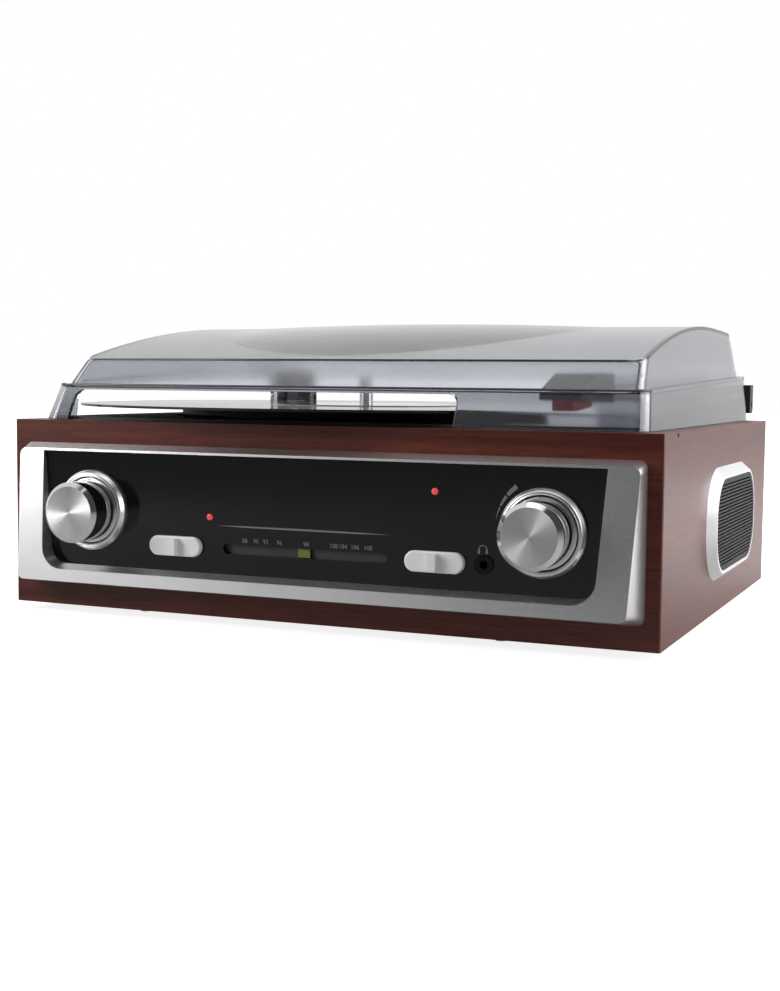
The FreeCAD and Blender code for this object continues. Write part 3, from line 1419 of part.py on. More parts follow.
def make_speed_selector():
    """Slide on the deck with its switch below."""
    knob = Piece("speed_selector")
    top = rectangle("speed_knob_width", "speed_knob_length")
    knob.pad(knob.polygon("XY_Plane", top, "clearance"), "speed_knob_height")
    knob.round("head_round", upright)
    stem = rectangle("speed_stem_width", "speed_stem_length")
    knob.pad(knob.polygon("XY_Plane", stem, "clearance"), "deck_flange + 2 * clearance", True)
    keep(knob.body, "speed_selector", "speed_x", "speed_y", DECK_TOP)

    switch = block("speed_switch_width", "speed_switch_length", "speed_switch_height", "speed_x", "speed_y",
                   "cabinet_height - speed_switch_height")
    slot = block("speed_stem_width + 2 * overrun", "speed_stem_length + 2 * speed_travel + 2 * overrun",
                 "speed_switch_height / 2", "speed_x", "speed_y", "cabinet_height - speed_switch_height / 2")
    keep(cut(switch, slot), "speed_switch")


def cover_solid(inset, drop):
    """Filled dust cover, drawn in by an inset on its walls and lowered by a drop on its ledge and roof."""
    half_width = size.cover_base_width / 2 - inset
    front = size.cover_front + inset
    rear = size.cover_rear - inset
    base = size.cabinet_height + size.clearance
    rise = (size.ledge_rear - size.ledge_front) / size.cover_base_depth

    def flat(height):
        return lambda x, y: FreeCAD.Vector(x, y, height)

    def on_ledge(x, y):
        return FreeCAD.Vector(x, y, size.ledge_front + rise * (y - size.cover_front) - drop)

    foot = box_corners(half_width, front, rear, size.cover_corner - inset)
    corner = size.cover_corner - inset
    brim = box_corners(half_width - size.skirt_draft, front + size.skirt_rake, rear, corner)
    skirt_wires = [rounded_wire(foot, flat(base)), rounded_wire(brim, on_ledge)]
    skirt = Part.makeLoft(skirt_wires, True, True)
    if drop:
        skirt = skirt.fuse(Part.Face(skirt_wires[0]).extrude(FreeCAD.Vector(0, 0, -size.overrun)))

    hood_half = half_width - size.skirt_draft - size.ledge_width
    hood_front = front + size.skirt_rake + size.ledge_width
    hood_rear = rear - size.ledge_width
    front_slope = size.hood_front_rake / (size.hood_front_height - size.ledge_front)
    side_slope = size.hood_side_draft / (size.hood_front_height - size.ledge_front)
    rear_slope = size.hood_rear_draft / (size.hood_rear_height - size.ledge_rear)
    ceiling = size.hood_peak + size.cover_corner
    rise_front = ceiling - size.ledge_front
    rise_rear = ceiling - size.ledge_rear
    lower = box_corners(hood_half, hood_front, hood_rear, size.cover_corner - inset)
    upper = box_corners(
        hood_half - side_slope * rise_front,
        hood_front + front_slope * rise_front,
        hood_rear - rear_slope * rise_rear,
        size.cover_corner - inset,
    )
    hood = Part.makeLoft([rounded_wire(lower, on_ledge), rounded_wire(upper, flat(ceiling))], True, True)

    # The roof is a barrel: two arcs that meet at the peak.
    crest_front = size.cover_front + size.skirt_rake + size.ledge_width + size.hood_front_rake
    crest_rear = size.cover_rear - size.ledge_width - size.hood_rear_draft
    reach = size.cover_base_width / 2 + size.overrun

    def roof_point(y, z):
        return FreeCAD.Vector(-reach, y, z - drop)

    front_point = roof_point(crest_front, size.hood_front_height)
    flank = roof_point(
        crest_front + HOOD_FLANK_SHARE * (size.hood_peak_y - crest_front),
        size.hood_front_height + HOOD_FLANK_RISE_SHARE * (size.hood_peak - size.hood_front_height),
    )
    peak = roof_point(size.hood_peak_y, size.hood_peak)
    rear_point = roof_point(crest_rear, size.hood_rear_height)
    fall = (size.hood_peak + size.hood_rear_height) / 2
    back = roof_point((size.hood_peak_y + crest_rear) / 2, fall + (size.hood_peak - fall) / 2)
    front_arc = Part.Arc(front_point, flank, peak).toShape()
    rear_arc = Part.Arc(peak, back, rear_point).toShape()
    before = roof_point(-size.cover_base_depth, size.hood_front_height)
    after = roof_point(size.cover_base_depth, size.hood_rear_height)
    low_rear = roof_point(size.cover_base_depth, 0)
    low_front = roof_point(-size.cover_base_depth, 0)
    outline = Part.Wire([
        Part.LineSegment(low_front, before).toShape(),
        Part.LineSegment(before, front_point).toShape(),
        front_arc,
        rear_arc,
        Part.LineSegment(rear_point, after).toShape(),
        Part.LineSegment(after, low_rear).toShape(),
        Part.LineSegment(low_rear, low_front).toShape(),
    ])
    barrel = Part.Face(outline).extrude(FreeCAD.Vector(2 * reach, 0, 0))
    solid = skirt.fuse(hood.common(barrel)).removeSplitter()
    if drop:
        return solid
    return solid.fuse(dome_cap(front_arc, rear_arc)).removeSplitter()


def dome_cap(front_arc, rear_arc):
    """Shallow round dome for the barrel roof: its own profile of the roof, swept round a far axis below."""
    sweep_radius = size.dome_radius ** 2 / (2 * size.dome_rise)
    half_reach = DOME_REACH_SHARE * size.dome_radius
    top = []
    for step in range(DOME_STEPS + 1):
        offset = half_reach * (2 * step / DOME_STEPS - 1)
        y = size.dome_y + offset
        circle = front_arc.Curve if y < size.hood_peak_y else rear_arc.Curve
        roof = circle.Center.z + math.sqrt(circle.Radius ** 2 - (y - circle.Center.y) ** 2)
        bulge = size.dome_rise * (1 - (offset / size.dome_radius) ** 2)
        top.append(FreeCAD.Vector(size.dome_x, y, roof + bulge))
    crown = Part.BSplineCurve()
    crown.interpolate(top)
    low_rear = FreeCAD.Vector(size.dome_x, top[-1].y, size.hood_front_height - size.cover_wall)
    low_front = FreeCAD.Vector(size.dome_x, top[0].y, size.hood_front_height - size.cover_wall)
    face = Part.Face(Part.Wire([
        crown.toShape(),
        Part.LineSegment(top[-1], low_rear).toShape(),
        Part.LineSegment(low_rear, low_front).toShape(),
        Part.LineSegment(low_front, top[0]).toShape(),
    ]))
    swing = math.degrees(math.asin(half_reach / sweep_radius))
    middle = FreeCAD.Vector(size.dome_x, 0, size.hood_peak - sweep_radius)
    along = FreeCAD.Vector(0, 1, 0)
    face.rotate(middle, along, -swing)
    return face.revolve(middle, along, 2 * swing)


def arch_block(left, right, low, start, length, along_x):
    """Cutter for a gap in the cover with its two upper edges rounded, run along Y, or along X."""
    high = size.gap_top
    radius = size.gap_round
    lean = radius * (1 - math.sqrt(1 / 2))

    def lift(u, v):
        return FreeCAD.Vector(start, u, v) if along_x else FreeCAD.Vector(u, start, v)

    shoulder = lift(right, high - radius)
    right_round = Part.Arc(shoulder, lift(right - lean, high - lean), lift(right - radius, high))
    left_start = lift(left + radius, high)
    left_round = Part.Arc(left_start, lift(left + lean, high - lean), lift(left, high - radius))
    edges = [
        Part.LineSegment(lift(left, low), lift(right, low)).toShape(),
        Part.LineSegment(lift(right, low), lift(right, high - radius)).toShape(),
        right_round.toShape(),
        Part.LineSegment(lift(right - radius, high), lift(left + radius, high)).toShape(),
        left_round.toShape(),
        Part.LineSegment(lift(left, high - radius), lift(left, low)).toShape(),
    ]
    run = FreeCAD.Vector(length, 0, 0) if along_x else FreeCAD.Vector(0, length, 0)
    return Part.Face(Part.Wire(edges)).extrude(run)


def make_cover():
    """Smoked dust cover with its three cut-outs, and the hinges that carry it."""
    shell = cover_solid(0, 0).cut(cover_solid(size.cover_wall, size.cover_wall))
    low = size.cabinet_height
    left = size.platter_x - size.gap_left
    depth = size.skirt_rake + size.cover_corner + size.cover_wall
    front = size.cover_front - size.overrun
    rear = size.cover_rear + size.overrun - depth
    side = -size.cover_base_width / 2 - size.overrun
    rear_left = size.platter_x - size.rear_gap_right
    rear_right = size.platter_x + size.rear_gap_right
    gaps = [
        arch_block(left, size.platter_x + size.front_gap_right, low, front, depth, False),
        arch_block(rear_left, rear_right, low, rear, depth, False),
        arch_block(size.platter_y - size.gap_side, size.cover_rear - size.rear_post, low, side, depth, True),
    ]
    for gap in gaps:
        shell = shell.cut(gap)
    keep(worked(shell.Solids[0]), "dust_cover")

    pins = []
    for side, sign in (("right", ""), ("left", "-")):
        x = f"{sign}hinge_x"
        start = f"{x} - leaf_width / 2 - overrun"
        bore_length = "leaf_width + 2 * overrun"
        hole = rod("pin_radius + shaft_gap", bore_length, start, "hinge_y", "hinge_z", TO_RIGHT)
        leaf_y = "cover_rear + leaf_depth / 2"
        leaf = Piece("leaf")
        leaf.pad(leaf.polygon("XY_Plane", rectangle("leaf_width", "leaf_depth", x, leaf_y), "leaf_bottom"),
                 "leaf_top - leaf_bottom")
        leaf.round("leaf_round", lambda edge: edge.BoundBox.YMin > size.cover_rear + size.leaf_depth - TOUCH)
        slot = block("lug_width + 2 * clearance", "leaf_depth + 2 * overrun",
                     "leaf_slot_top - leaf_bottom + overrun", x, leaf_y, "leaf_bottom - overrun")
        keep(cut(leaf.body, slot, hole), f"hinge_leaf_{side}")

        rear = FRONT
        plate = block("plate_width", "plate_thickness", "plate_top - plate_bottom", x,
                      f"{rear} + plate_thickness / 2", "plate_bottom")
        neck = block("lug_width", f"hinge_y - ({rear})", "hinge_z - plate_top", x,
                     f"(hinge_y + {rear}) / 2", "plate_top")
        eye = rod("lug_radius", "lug_width", f"{x} - lug_width / 2", "hinge_y", "hinge_z", TO_RIGHT)
        keep(cut(fuse(plate, neck, eye), hole), f"hinge_bracket_{side}")
        pins.append(rod("pin_radius", "pin_length", f"{x} - pin_length / 2", "hinge_y", "hinge_z", TO_RIGHT))
    keep(group(*pins), "hinge_pins")


make_cabinet()
make_base()
make_rear()
make_deck()
make_platter()
make_drive()
make_bezel()
make_panel()
make_knobs()
make_lamps_and_socket()
make_sliders()
make_board_and_transformer()
make_speakers()
make_tonearm()
make_speed_selector()
make_cover()

document.recompute()
for item in document.Objects:
    if "Invalid" in item.State or "Error" in item.State:
        raise RuntimeError(f"{item.Label} failed: {item.State}")
os.makedirs("parts", exist_ok=True)
for sub_part in sub_parts:
    if sub_part.Shape.isNull() or not sub_part.Shape.isValid():
        raise RuntimeError(f"{sub_part.Label} has no valid shape")
for sub_part in sub_parts:
    sub_part.Shape.exportStep(f"parts/{sub_part.Label}.step")
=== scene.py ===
"""Looks of a wooden record player with a radio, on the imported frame, in metres."""

import math
import bmesh
import bpy
from mathutils import Matrix, Vector


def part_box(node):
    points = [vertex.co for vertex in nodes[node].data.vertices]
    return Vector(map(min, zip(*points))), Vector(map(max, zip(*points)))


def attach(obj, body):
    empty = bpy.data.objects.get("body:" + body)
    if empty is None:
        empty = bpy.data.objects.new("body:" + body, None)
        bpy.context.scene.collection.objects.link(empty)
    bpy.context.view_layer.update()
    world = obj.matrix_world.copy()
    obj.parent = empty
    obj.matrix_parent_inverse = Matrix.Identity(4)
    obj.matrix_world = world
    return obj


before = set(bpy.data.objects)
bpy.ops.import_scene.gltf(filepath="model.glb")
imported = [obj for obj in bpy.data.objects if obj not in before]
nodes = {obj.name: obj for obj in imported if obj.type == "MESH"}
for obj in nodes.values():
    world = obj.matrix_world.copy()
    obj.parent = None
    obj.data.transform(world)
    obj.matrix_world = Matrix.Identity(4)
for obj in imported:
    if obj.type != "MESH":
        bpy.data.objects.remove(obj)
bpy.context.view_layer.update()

MM = 0.001

# Cabinet's own zero in the row frame: the middle of its underside.
cabinet_low, cabinet_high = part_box("wooden_cabinet")
cabinet_middle = (cabinet_low + cabinet_high) / 2
CABINET = Vector((cabinet_middle.x, cabinet_middle.y, cabinet_low.z))


def spot(x, y, z):
    """Row-frame place of a point given in millimetres from the middle of the cabinet's underside."""
    return CABINET + Vector((x, y, z)) * MM


def from_cabinet(place):
    """Millimetres from the middle of the cabinet's underside to a row-frame place."""
    return (place - CABINET) / MM


def shown(name, data):
    """Object of that data, put in the scene."""
    item = bpy.data.objects.new(name, data)
    bpy.context.scene.collection.objects.link(item)
    return item


# Camera, placed from the photograph's perspective: angles in degrees, lens and sensor in millimetres.
CAMERA_PLACE = spot(290.611, -710.939, 110.024)
CAMERA_YAW = 23.27793538
CAMERA_PITCH = 4.49704662
CAMERA_ROLL = -0.56137851
FOCAL_LENGTH = 52.616
SENSOR_HEIGHT = 36.0
CLIP_START = 0.01


def add_camera():
    """Camera at the photograph's place, turned by yaw, pitch and roll."""
    yaw = math.radians(CAMERA_YAW)
    pitch = math.radians(CAMERA_PITCH)
    roll = math.radians(CAMERA_ROLL)
    ahead = Vector((-math.sin(yaw) * math.cos(pitch), math.cos(yaw) * math.cos(pitch), -math.sin(pitch)))
    level = Vector((math.cos(yaw), math.sin(yaw), 0.0))
    down = ahead.cross(level)
    right = math.cos(roll) * level + math.sin(roll) * down
    up = math.sin(roll) * level - math.cos(roll) * down
    data = bpy.data.cameras.new("photo_camera")
    data.sensor_fit = "VERTICAL"
    data.sensor_height = SENSOR_HEIGHT
    data.lens = FOCAL_LENGTH
    data.clip_start = CLIP_START
    camera = shown("photo_camera", data)
    turn = Matrix((right, up, -ahead)).transposed()
    camera.matrix_world = Matrix.Translation(CAMERA_PLACE) @ turn.to_4x4()
    bpy.context.scene.camera = camera


class Tree:
    """Short ways to add and link the nodes of one tree."""

    def __init__(self, tree):
        self.tree = tree

    def add(self, kind, **settings):
        """Node of that kind with its properties set."""
        node = self.tree.nodes.new("ShaderNode" + kind)
        for key, value in settings.items():
            setattr(node, key, value)
        return node

    def give(self, socket, value):
        """Links an output to a socket, or sets a plain value there."""
        if isinstance(value, bpy.types.NodeSocket):
            self.tree.links.new(value, socket)
        else:
            socket.default_value = value

    def made(self, kind, output, inputs, **settings):
        """Output of a new node whose inputs are given by name or by number."""
        node = self.add(kind, **settings)
        for key, value in inputs.items():
            self.give(node.inputs[key], value)
        return node.outputs[output]

    def stretched(self, vector, scale):
        """Coordinates times a scale for each axis."""
        return self.made("VectorMath", "Vector", {0: vector, 1: scale}, operation="MULTIPLY")

    def moved(self, vector, offset):
        """Coordinates less an offset."""
        return self.made("VectorMath", "Vector", {0: vector, 1: offset}, operation="SUBTRACT")

    def split(self, vector, axes):
        """Parts of a vector along the named axes."""
        node = self.add("SeparateXYZ")
        self.give(node.inputs["Vector"], vector)
        return [node.outputs[axis] for axis in axes]

    def maths(self, operation, *values):
        return self.made("Math", "Value", dict(enumerate(values)), operation=operation)

    def reach(self, first, second):
        """Distance from zero in two directions."""
        squares = [self.maths("MULTIPLY", part, part) for part in (first, second)]
        return self.maths("SQRT", self.maths("ADD", *squares))

    def spread(self, source, low, high, start=0.0, end=1.0, shape="LINEAR"):
        """Source from start to end, laid out from low to high."""
        inputs = {"Value": source, "From Min": start, "From Max": end, "To Min": low, "To Max": high}
        return self.made("MapRange", "Result", inputs, interpolation_type=shape)

    def noise(self, vector, scale, detail=3.0, roughness=0.5, distortion=0.0):
        inputs = {"Vector": vector, "Scale": scale, "Detail": detail, "Roughness": roughness,
                  "Distortion": distortion}
        return self.made("TexNoise", "Fac", inputs)

    def bands(self, source, scale, detail=2.0):
        """Noise along one number, such as a distance."""
        inputs = {"W": source, "Scale": scale, "Detail": detail}
        return self.made("TexNoise", "Fac", inputs, noise_dimensions="1D")

    def ramp(self, source, *stops):
        """Colour ramp of (position, red, green, blue) stops."""
        node = self.add("ValToRGB")
        band = node.color_ramp
        while len(band.elements) < len(stops):
            band.elements.new(0.5)
        for element, (position, *colour) in zip(band.elements, stops):
            element.position = position
            element.color = (*colour, 1.0)
        self.give(node.inputs["Fac"], source)
        return node.outputs["Color"]

    def blend(self, factor, first, second):
        """Colour or vector blend of two sources."""
        return self.made("Mix", "Result", {"Factor": factor, "A": first, "B": second}, data_type="RGBA")

    def times(self, first, second, weight=1.0):
        """First colour darkened by the second, as far as the weight says."""
        inputs = {"Factor": weight, "A": first, "B": second}
        return self.made("Mix", "Result", inputs, data_type="RGBA", blend_type="MULTIPLY")

    def seen(self):
        """One on rays from the camera, straight or through the cover, and zero on others."""
        path = self.add("LightPath")
        return self.maths("MAXIMUM", path.outputs["Is Camera Ray"], path.outputs["Is Transmission Ray"])


class Finish(Tree):
    """Procedural material round one Principled shader."""

    def __init__(self, name, **sockets):
        self.material = bpy.data.materials.new(name)
        self.material.use_nodes = True
        super().__init__(self.material.node_tree)
        self.shader = self.tree.nodes["Principled BSDF"]
        for key, value in sockets.items():
            self.shader.inputs[key.replace("_", " ")].default_value = value

    def place(self):
        """Object coordinates, which are row-frame metres at rest."""
        return self.add("TexCoord").outputs["Object"]

    def facing(self, axis, least):
        """One where the surface faces along an axis, either way, and zero elsewhere."""
        turned = self.made("SeparateXYZ", axis, {"Vector": self.add("TexCoord").outputs["Normal"]})
        return self.maths("GREATER_THAN", self.maths("ABSOLUTE", turned), least)

    def feed(self, source, socket):
        """Drives one socket of the shader."""
        self.give(self.shader.inputs[socket], source)

    def bump(self, source, strength, distance):
        """Raises the surface by a source."""
        inputs = {"Strength": strength, "Distance": distance, "Height": source}
        self.feed(self.made("Bump", "Normal", inputs), "Normal")

    def put(self, *names):
        """Gives the finish to CAD nodes."""
        for name in names:
            mesh = nodes[name].data
            mesh.materials.clear()
            mesh.materials.append(self.material)


# Reliefs of the surfaces, in metres.
FINE_RELIEF = 0.2 * MM
LINE_RELIEF = 0.1 * MM
RING_RELIEF = 0.05 * MM
GROOVE_RELIEF = 0.02 * MM

# Plain finishes: cloudy colour between two stops, and gloss that varies to both sides.
CLOUD_SCALE = 40.0
DARK_STOP, LIGHT_STOP = 0.3, 0.7
GLOSS_SPREAD = 0.15


def speckled(name, colour, shift, grain, roughness, bump, **sockets):
    """Finish with slightly varied colour, fine grain in its gloss and in its surface."""
    finish = Finish(name, **sockets)
    place = finish.place()
    cloud = finish.noise(place, CLOUD_SCALE)
    dark = [channel * (1.0 - shift) for channel in colour]
    light = [channel * (1.0 + shift) for channel in colour]
    finish.feed(finish.ramp(cloud, (DARK_STOP, *dark), (LIGHT_STOP, *light)), "Base Color")
    fine = finish.noise(place, grain, detail=2.0)
    gloss = roughness * (1.0 - GLOSS_SPREAD), roughness * (1.0 + GLOSS_SPREAD)
    finish.feed(finish.spread(fine, *gloss), "Roughness")
    finish.bump(fine, bump, FINE_RELIEF)
    return finish


# Brushed metal: how much darker its lines are, and how far its gloss goes down and up.
LINE_SHADE = 0.82
LINE_GLOSS = 0.8, 1.25


def brushed(name, colour, stretch, roughness):
    """Metal with fine lines along one axis."""
    finish = Finish(name, Metallic=1.0)
    lines = finish.noise(finish.stretched(finish.place(), stretch), 1.0, detail=4.0, roughness=0.6)
    dark = [channel * LINE_SHADE for channel in colour]
    finish.feed(finish.ramp(lines, (DARK_STOP, *dark), (LIGHT_STOP, *colour)), "Base Color")
    smooth, rough = (roughness * share for share in LINE_GLOSS)
    finish.feed(finish.spread(lines, smooth, rough), "Roughness")
    finish.bump(lines, 0.15, LINE_RELIEF)
    return finish


# Veneer: grain in marks to the metre, and the part of a surface's turn that makes it a side.
GRAIN_ALONG, GRAIN_ACROSS = 3.0, 55.0
FIGURE_SCALE, PORE_SCALE = 1.6, 14.0
SIDE_TURN = 0.6
WOOD_TONES = (0.25, 0.050, 0.0084, 0.0048), (0.5, 0.094, 0.0172, 0.0096), (0.75, 0.136, 0.028, 0.0152)
PORE_TONES = (0.32, 0.35, 0.32, 0.3), (0.55, 1.0, 1.0, 1.0)
PORE_WEIGHT = 0.6


def wood_finish():
    """Dark lacquered veneer: grain along the front and top, and from front to rear on the sides."""
    finish = Finish("veneer", Coat_Weight=0.3, Coat_Roughness=0.2, Specular_IOR_Level=0.2)
    place = finish.place()
    along_front = finish.stretched(place, (GRAIN_ALONG, GRAIN_ACROSS, GRAIN_ACROSS))
    along_side = finish.stretched(place, (GRAIN_ACROSS, GRAIN_ALONG, GRAIN_ACROSS))
    lengthwise = finish.blend(finish.facing("X", SIDE_TURN), along_front, along_side)
    figure = finish.noise(lengthwise, FIGURE_SCALE, detail=5.0, roughness=0.55, distortion=0.7)
    pores = finish.noise(lengthwise, PORE_SCALE, detail=3.0, roughness=0.6)
    tone = finish.ramp(figure, *WOOD_TONES)
    finish.feed(finish.times(tone, finish.ramp(pores, *PORE_TONES), PORE_WEIGHT), "Base Color")
    finish.feed(finish.spread(figure, 0.3, 0.42), "Roughness")
    finish.bump(pores, 0.12, FINE_RELIEF)
    return finish


# Record: rate of its grooves and scale of its tracks, to the metre from its middle.
GROOVE_RATE, TRACK_SCALE = 9000.0, 260.0
TRACK_TONES = (0.35, 0.004, 0.004, 0.0045), (0.7, 0.012, 0.012, 0.013)


def vinyl_finish():
    """Glossy black record, cut with fine rings that part at the gaps between tracks."""
    low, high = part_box("vinyl_record")
    middle = (low + high) / 2
    finish = Finish("vinyl", Specular_IOR_Level=0.5, Coat_Weight=0.7, Coat_Roughness=0.03)
    east, north = finish.split(finish.moved(finish.place(), (middle.x, middle.y, 0.0)), "XY")
    reach = finish.reach(east, north)
    tracks = finish.bands(reach, TRACK_SCALE)
    finish.feed(finish.ramp(tracks, *TRACK_TONES), "Base Color")
    finish.feed(finish.spread(tracks, 0.12, 0.3), "Roughness")
    grooves = finish.maths("SINE", finish.maths("MULTIPLY", reach, GROOVE_RATE))
    finish.bump(grooves, 0.02, GROOVE_RELIEF)
    return finish


# Knobs: scale of the rings, to the metre, and the part of a surface's turn that makes it the face.
RING_SCALE = 9000.0
FACE_TURN = 0.95
RING_TONES = (0.25, 0.70, 0.70, 0.69), (0.75, 0.80, 0.80, 0.79)


def spun_finish():
    """Spun aluminium: rings about the knob's axis spread the gleam in a fan, and the rim is polished."""
    finish = Finish("spun_aluminium", Metallic=1.0, Anisotropic=0.95)
    tangent = finish.add("Tangent", direction_type="RADIAL", axis="Y")
    finish.feed(tangent.outputs["Tangent"], "Tangent")
    place = finish.place()
    reaches = []
    for node in ("tuning_knob", "volume_knob"):
        low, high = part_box(node)
        middle = (low + high) / 2
        across, up = finish.split(finish.moved(place, (middle.x, 0.0, middle.z)), "XZ")
        reaches.append(finish.reach(across, up))
    rings = finish.bands(finish.maths("MINIMUM", *reaches), RING_SCALE)
    finish.feed(finish.ramp(rings, *RING_TONES), "Base Color")
    finish.feed(finish.spread(finish.facing("Y", FACE_TURN), 0.09, 0.24), "Roughness")
    finish.bump(rings, 0.02, RING_RELIEF)
    return finish


# Circuit board: cells to the metre, and the colours of tracks and board.
CELL_SCALE = 140.0
BOARD_TONES = (0.04, 0.06, 0.26, 0.1), (0.09, 0.015, 0.10, 0.04)


def circuit_finish():
    """Green board with paler tracks."""
    finish = Finish("circuit_green", Specular_IOR_Level=0.4)
    cells = finish.made("TexVoronoi", "Distance", {"Vector": finish.place(), "Scale": CELL_SCALE},
                        distance="MANHATTAN", feature="DISTANCE_TO_EDGE")
    finish.feed(finish.ramp(cells, *BOARD_TONES), "Base Color")
    finish.feed(finish.spread(cells, 0.3, 0.5), "Roughness")
    return finish


# Dust cover: its round dome, in millimetres from the cabinet's middle, and its tones by reach and by height,
# which are painted light: a painted sheen that makes the dome paler, a painted shade ring at the dome's edge,
# and painted shade towards the foot.
DOME_X, DOME_Y = -8.0, 14.0
DOME_TONE_REACH = 110.0
DOME_SHEEN_AND_SHADE_TONES = (0.893, 0.69, 0.698, 0.72), (0.903, 0.37, 0.385, 0.42), (0.915, 0.57, 0.582, 0.62)
TONE_FOOT, TONE_TOP = 92.0, 122.0
HEIGHT_SHADE_TONES = ((0.0, 0.60, 0.60, 0.63), (0.5, 0.95, 0.95, 0.95), (0.9, 1.0, 1.0, 1.0),
                (1.0, 0.92, 0.92, 0.91))
HAZE_SCALE = 18.0
HAZE_TONES = (0.3, 0.93, 0.93, 0.94), (0.7, 1.0, 1.0, 1.0)


def smoked_finish():
    """Smoked acrylic with a slight haze, and painted light in its tint: a painted sheen makes the dome paler
    than round it, a painted shade ring marks the dome's edge, and painted shade darkens the foot.
    """
    finish = Finish("smoked_acrylic", IOR=1.49, Transmission_Weight=1.0, Coat_Weight=0.2, Coat_Roughness=0.06)
    place = finish.place()
    east, north, up = finish.split(finish.moved(place, spot(DOME_X, DOME_Y, 0.0)), "XYZ")
    reach = finish.spread(finish.reach(east, north), 0.0, 1.0, 0.0, DOME_TONE_REACH * MM)
    height = finish.spread(up, 0.0, 1.0, TONE_FOOT * MM, TONE_TOP * MM)
    haze = finish.noise(place, HAZE_SCALE, detail=2.0)
    # Painted sheen in the dome and a painted shade ring at its edge, standing for the dome roof's
    # reflections.
    tone = finish.times(finish.ramp(reach, *DOME_SHEEN_AND_SHADE_TONES), finish.ramp(haze, *HAZE_TONES))
    # Painted shade towards the foot; the tint also dims slightly at the very top.
    finish.feed(finish.times(tone, finish.ramp(height, *HEIGHT_SHADE_TONES)), "Base Color")
    finish.feed(finish.spread(haze, 0.09, 0.13), "Roughness")
    return finish


# Rounding of the cover's edges: millimetres, and the least angle between faces in degrees.
EDGE_ROUNDING = 0.7
EDGE_ANGLE = 32.0


def dress_cover():
    """Dust cover's acrylic, with its edges softened."""
    smoked_finish().put("dust_cover")
    edge = nodes["dust_cover"].modifiers.new("soft_edges", "BEVEL")
    edge.width = EDGE_ROUNDING * MM
    edge.segments = 2
    edge.limit_method = "ANGLE"
    edge.angle_limit = math.radians(EDGE_ANGLE)


# Grain of plain surfaces, in marks to the metre.
BOARD_GRAIN = 900.0
PAPER_GRAIN = 1800.0
FINE_GRAIN = 2500.0
GLOSS_GRAIN = 3000.0
MOULDED_GRAIN = 3500.0
PAINT_GRAIN = 5000.0


def dress_woods():
    """Veneer and board."""
    wood_finish().put("wooden_cabinet")
    board = speckled("fibreboard", (0.06, 0.045, 0.032), 0.4, BOARD_GRAIN, roughness=0.8, bump=0.3)
    board.put("base_panel")


def dress_silvers():
    """Silver paints of the fascia, the speakers and the sliders."""
    paint = speckled("silver_paint", (0.74, 0.74, 0.75), 0.02, PAINT_GRAIN, roughness=0.26, bump=0.01,
                     Metallic=0.9)
    paint.put("fascia_bezel", "tuning_ring", "volume_ring")
    satin = speckled("frame_silver", (0.66, 0.66, 0.67), 0.02, PAINT_GRAIN, roughness=0.45, bump=0.02,
                     Metallic=0.5)
    satin.put("speaker_frame_left", "speaker_frame_right")
    pearl = speckled("slider_silver", (0.82, 0.82, 0.81), 0.02, PAINT_GRAIN, roughness=0.3, bump=0.01,
                     Coat_Weight=0.6, Coat_Roughness=0.1)
    pearl.put("band_slider", "function_slider")


def dress_metals():
    """Knobs, shafts, pins and other bare metal."""
    spun_finish().put("tuning_knob", "volume_knob")
    steel = brushed("bright_steel", (0.62, 0.62, 0.63), (300.0, 300.0, 3000.0), roughness=0.25)
    steel.put("base_screws", "hinge_pins", "spindle", "counterweight", "drive_motor", "power_transformer",
              "tuning_shaft", "volume_shaft", "speaker_driver_left", "speaker_driver_right", "line_out_jacks")
    tube = brushed("satin_aluminium", (0.66, 0.66, 0.67), (2500.0, 60.0, 2500.0), roughness=0.3)
    tube.put("tonearm_tube")
    brass = brushed("brass", (0.72, 0.5, 0.2), (300.0, 300.0, 3000.0), roughness=0.25)
    brass.put("platter_bearing", "motor_pulley")


def dress_blacks():
    """Record, panel, mouldings and rubber."""
    vinyl_finish().put("vinyl_record")
    gloss = speckled("panel_black", (0.003, 0.003, 0.0032), 0.2, GLOSS_GRAIN, roughness=0.1, bump=0.004,
                     Specular_IOR_Level=0.45)
    gloss.put("dial_panel")
    matte = speckled("matte_black", (0.018, 0.018, 0.019), 0.25, MOULDED_GRAIN, roughness=0.5, bump=0.12,
                     Specular_IOR_Level=0.35)
    matte.put("deck_plate", "platter", "rear_panel", "tonearm_base", "arm_rest", "tonearm_yoke", "headshell",
              "hinge_leaf_left", "hinge_leaf_right", "hinge_bracket_left", "hinge_bracket_right",
              "power_inlet", "speed_selector", "band_switch", "function_switch", "speed_switch",
              "tuning_capacitor", "volume_potentiometer")
    socket = speckled("socket_black", (0.004, 0.004, 0.0042), 0.25, MOULDED_GRAIN, roughness=0.4, bump=0.05,
                      Specular_IOR_Level=0.15)
    socket.put("headphone_socket")
    grille = speckled("grille_black", (0.010, 0.010, 0.011), 0.2, MOULDED_GRAIN, roughness=0.55, bump=0.08,
                      Specular_IOR_Level=0.3)
    grille.put("speaker_grille_left", "speaker_grille_right")
    rubber = speckled("black_rubber", (0.016, 0.016, 0.016), 0.25, FINE_GRAIN, roughness=0.75, bump=0.25)
    rubber.put("rubber_feet", "platter_mat", "drive_belt")


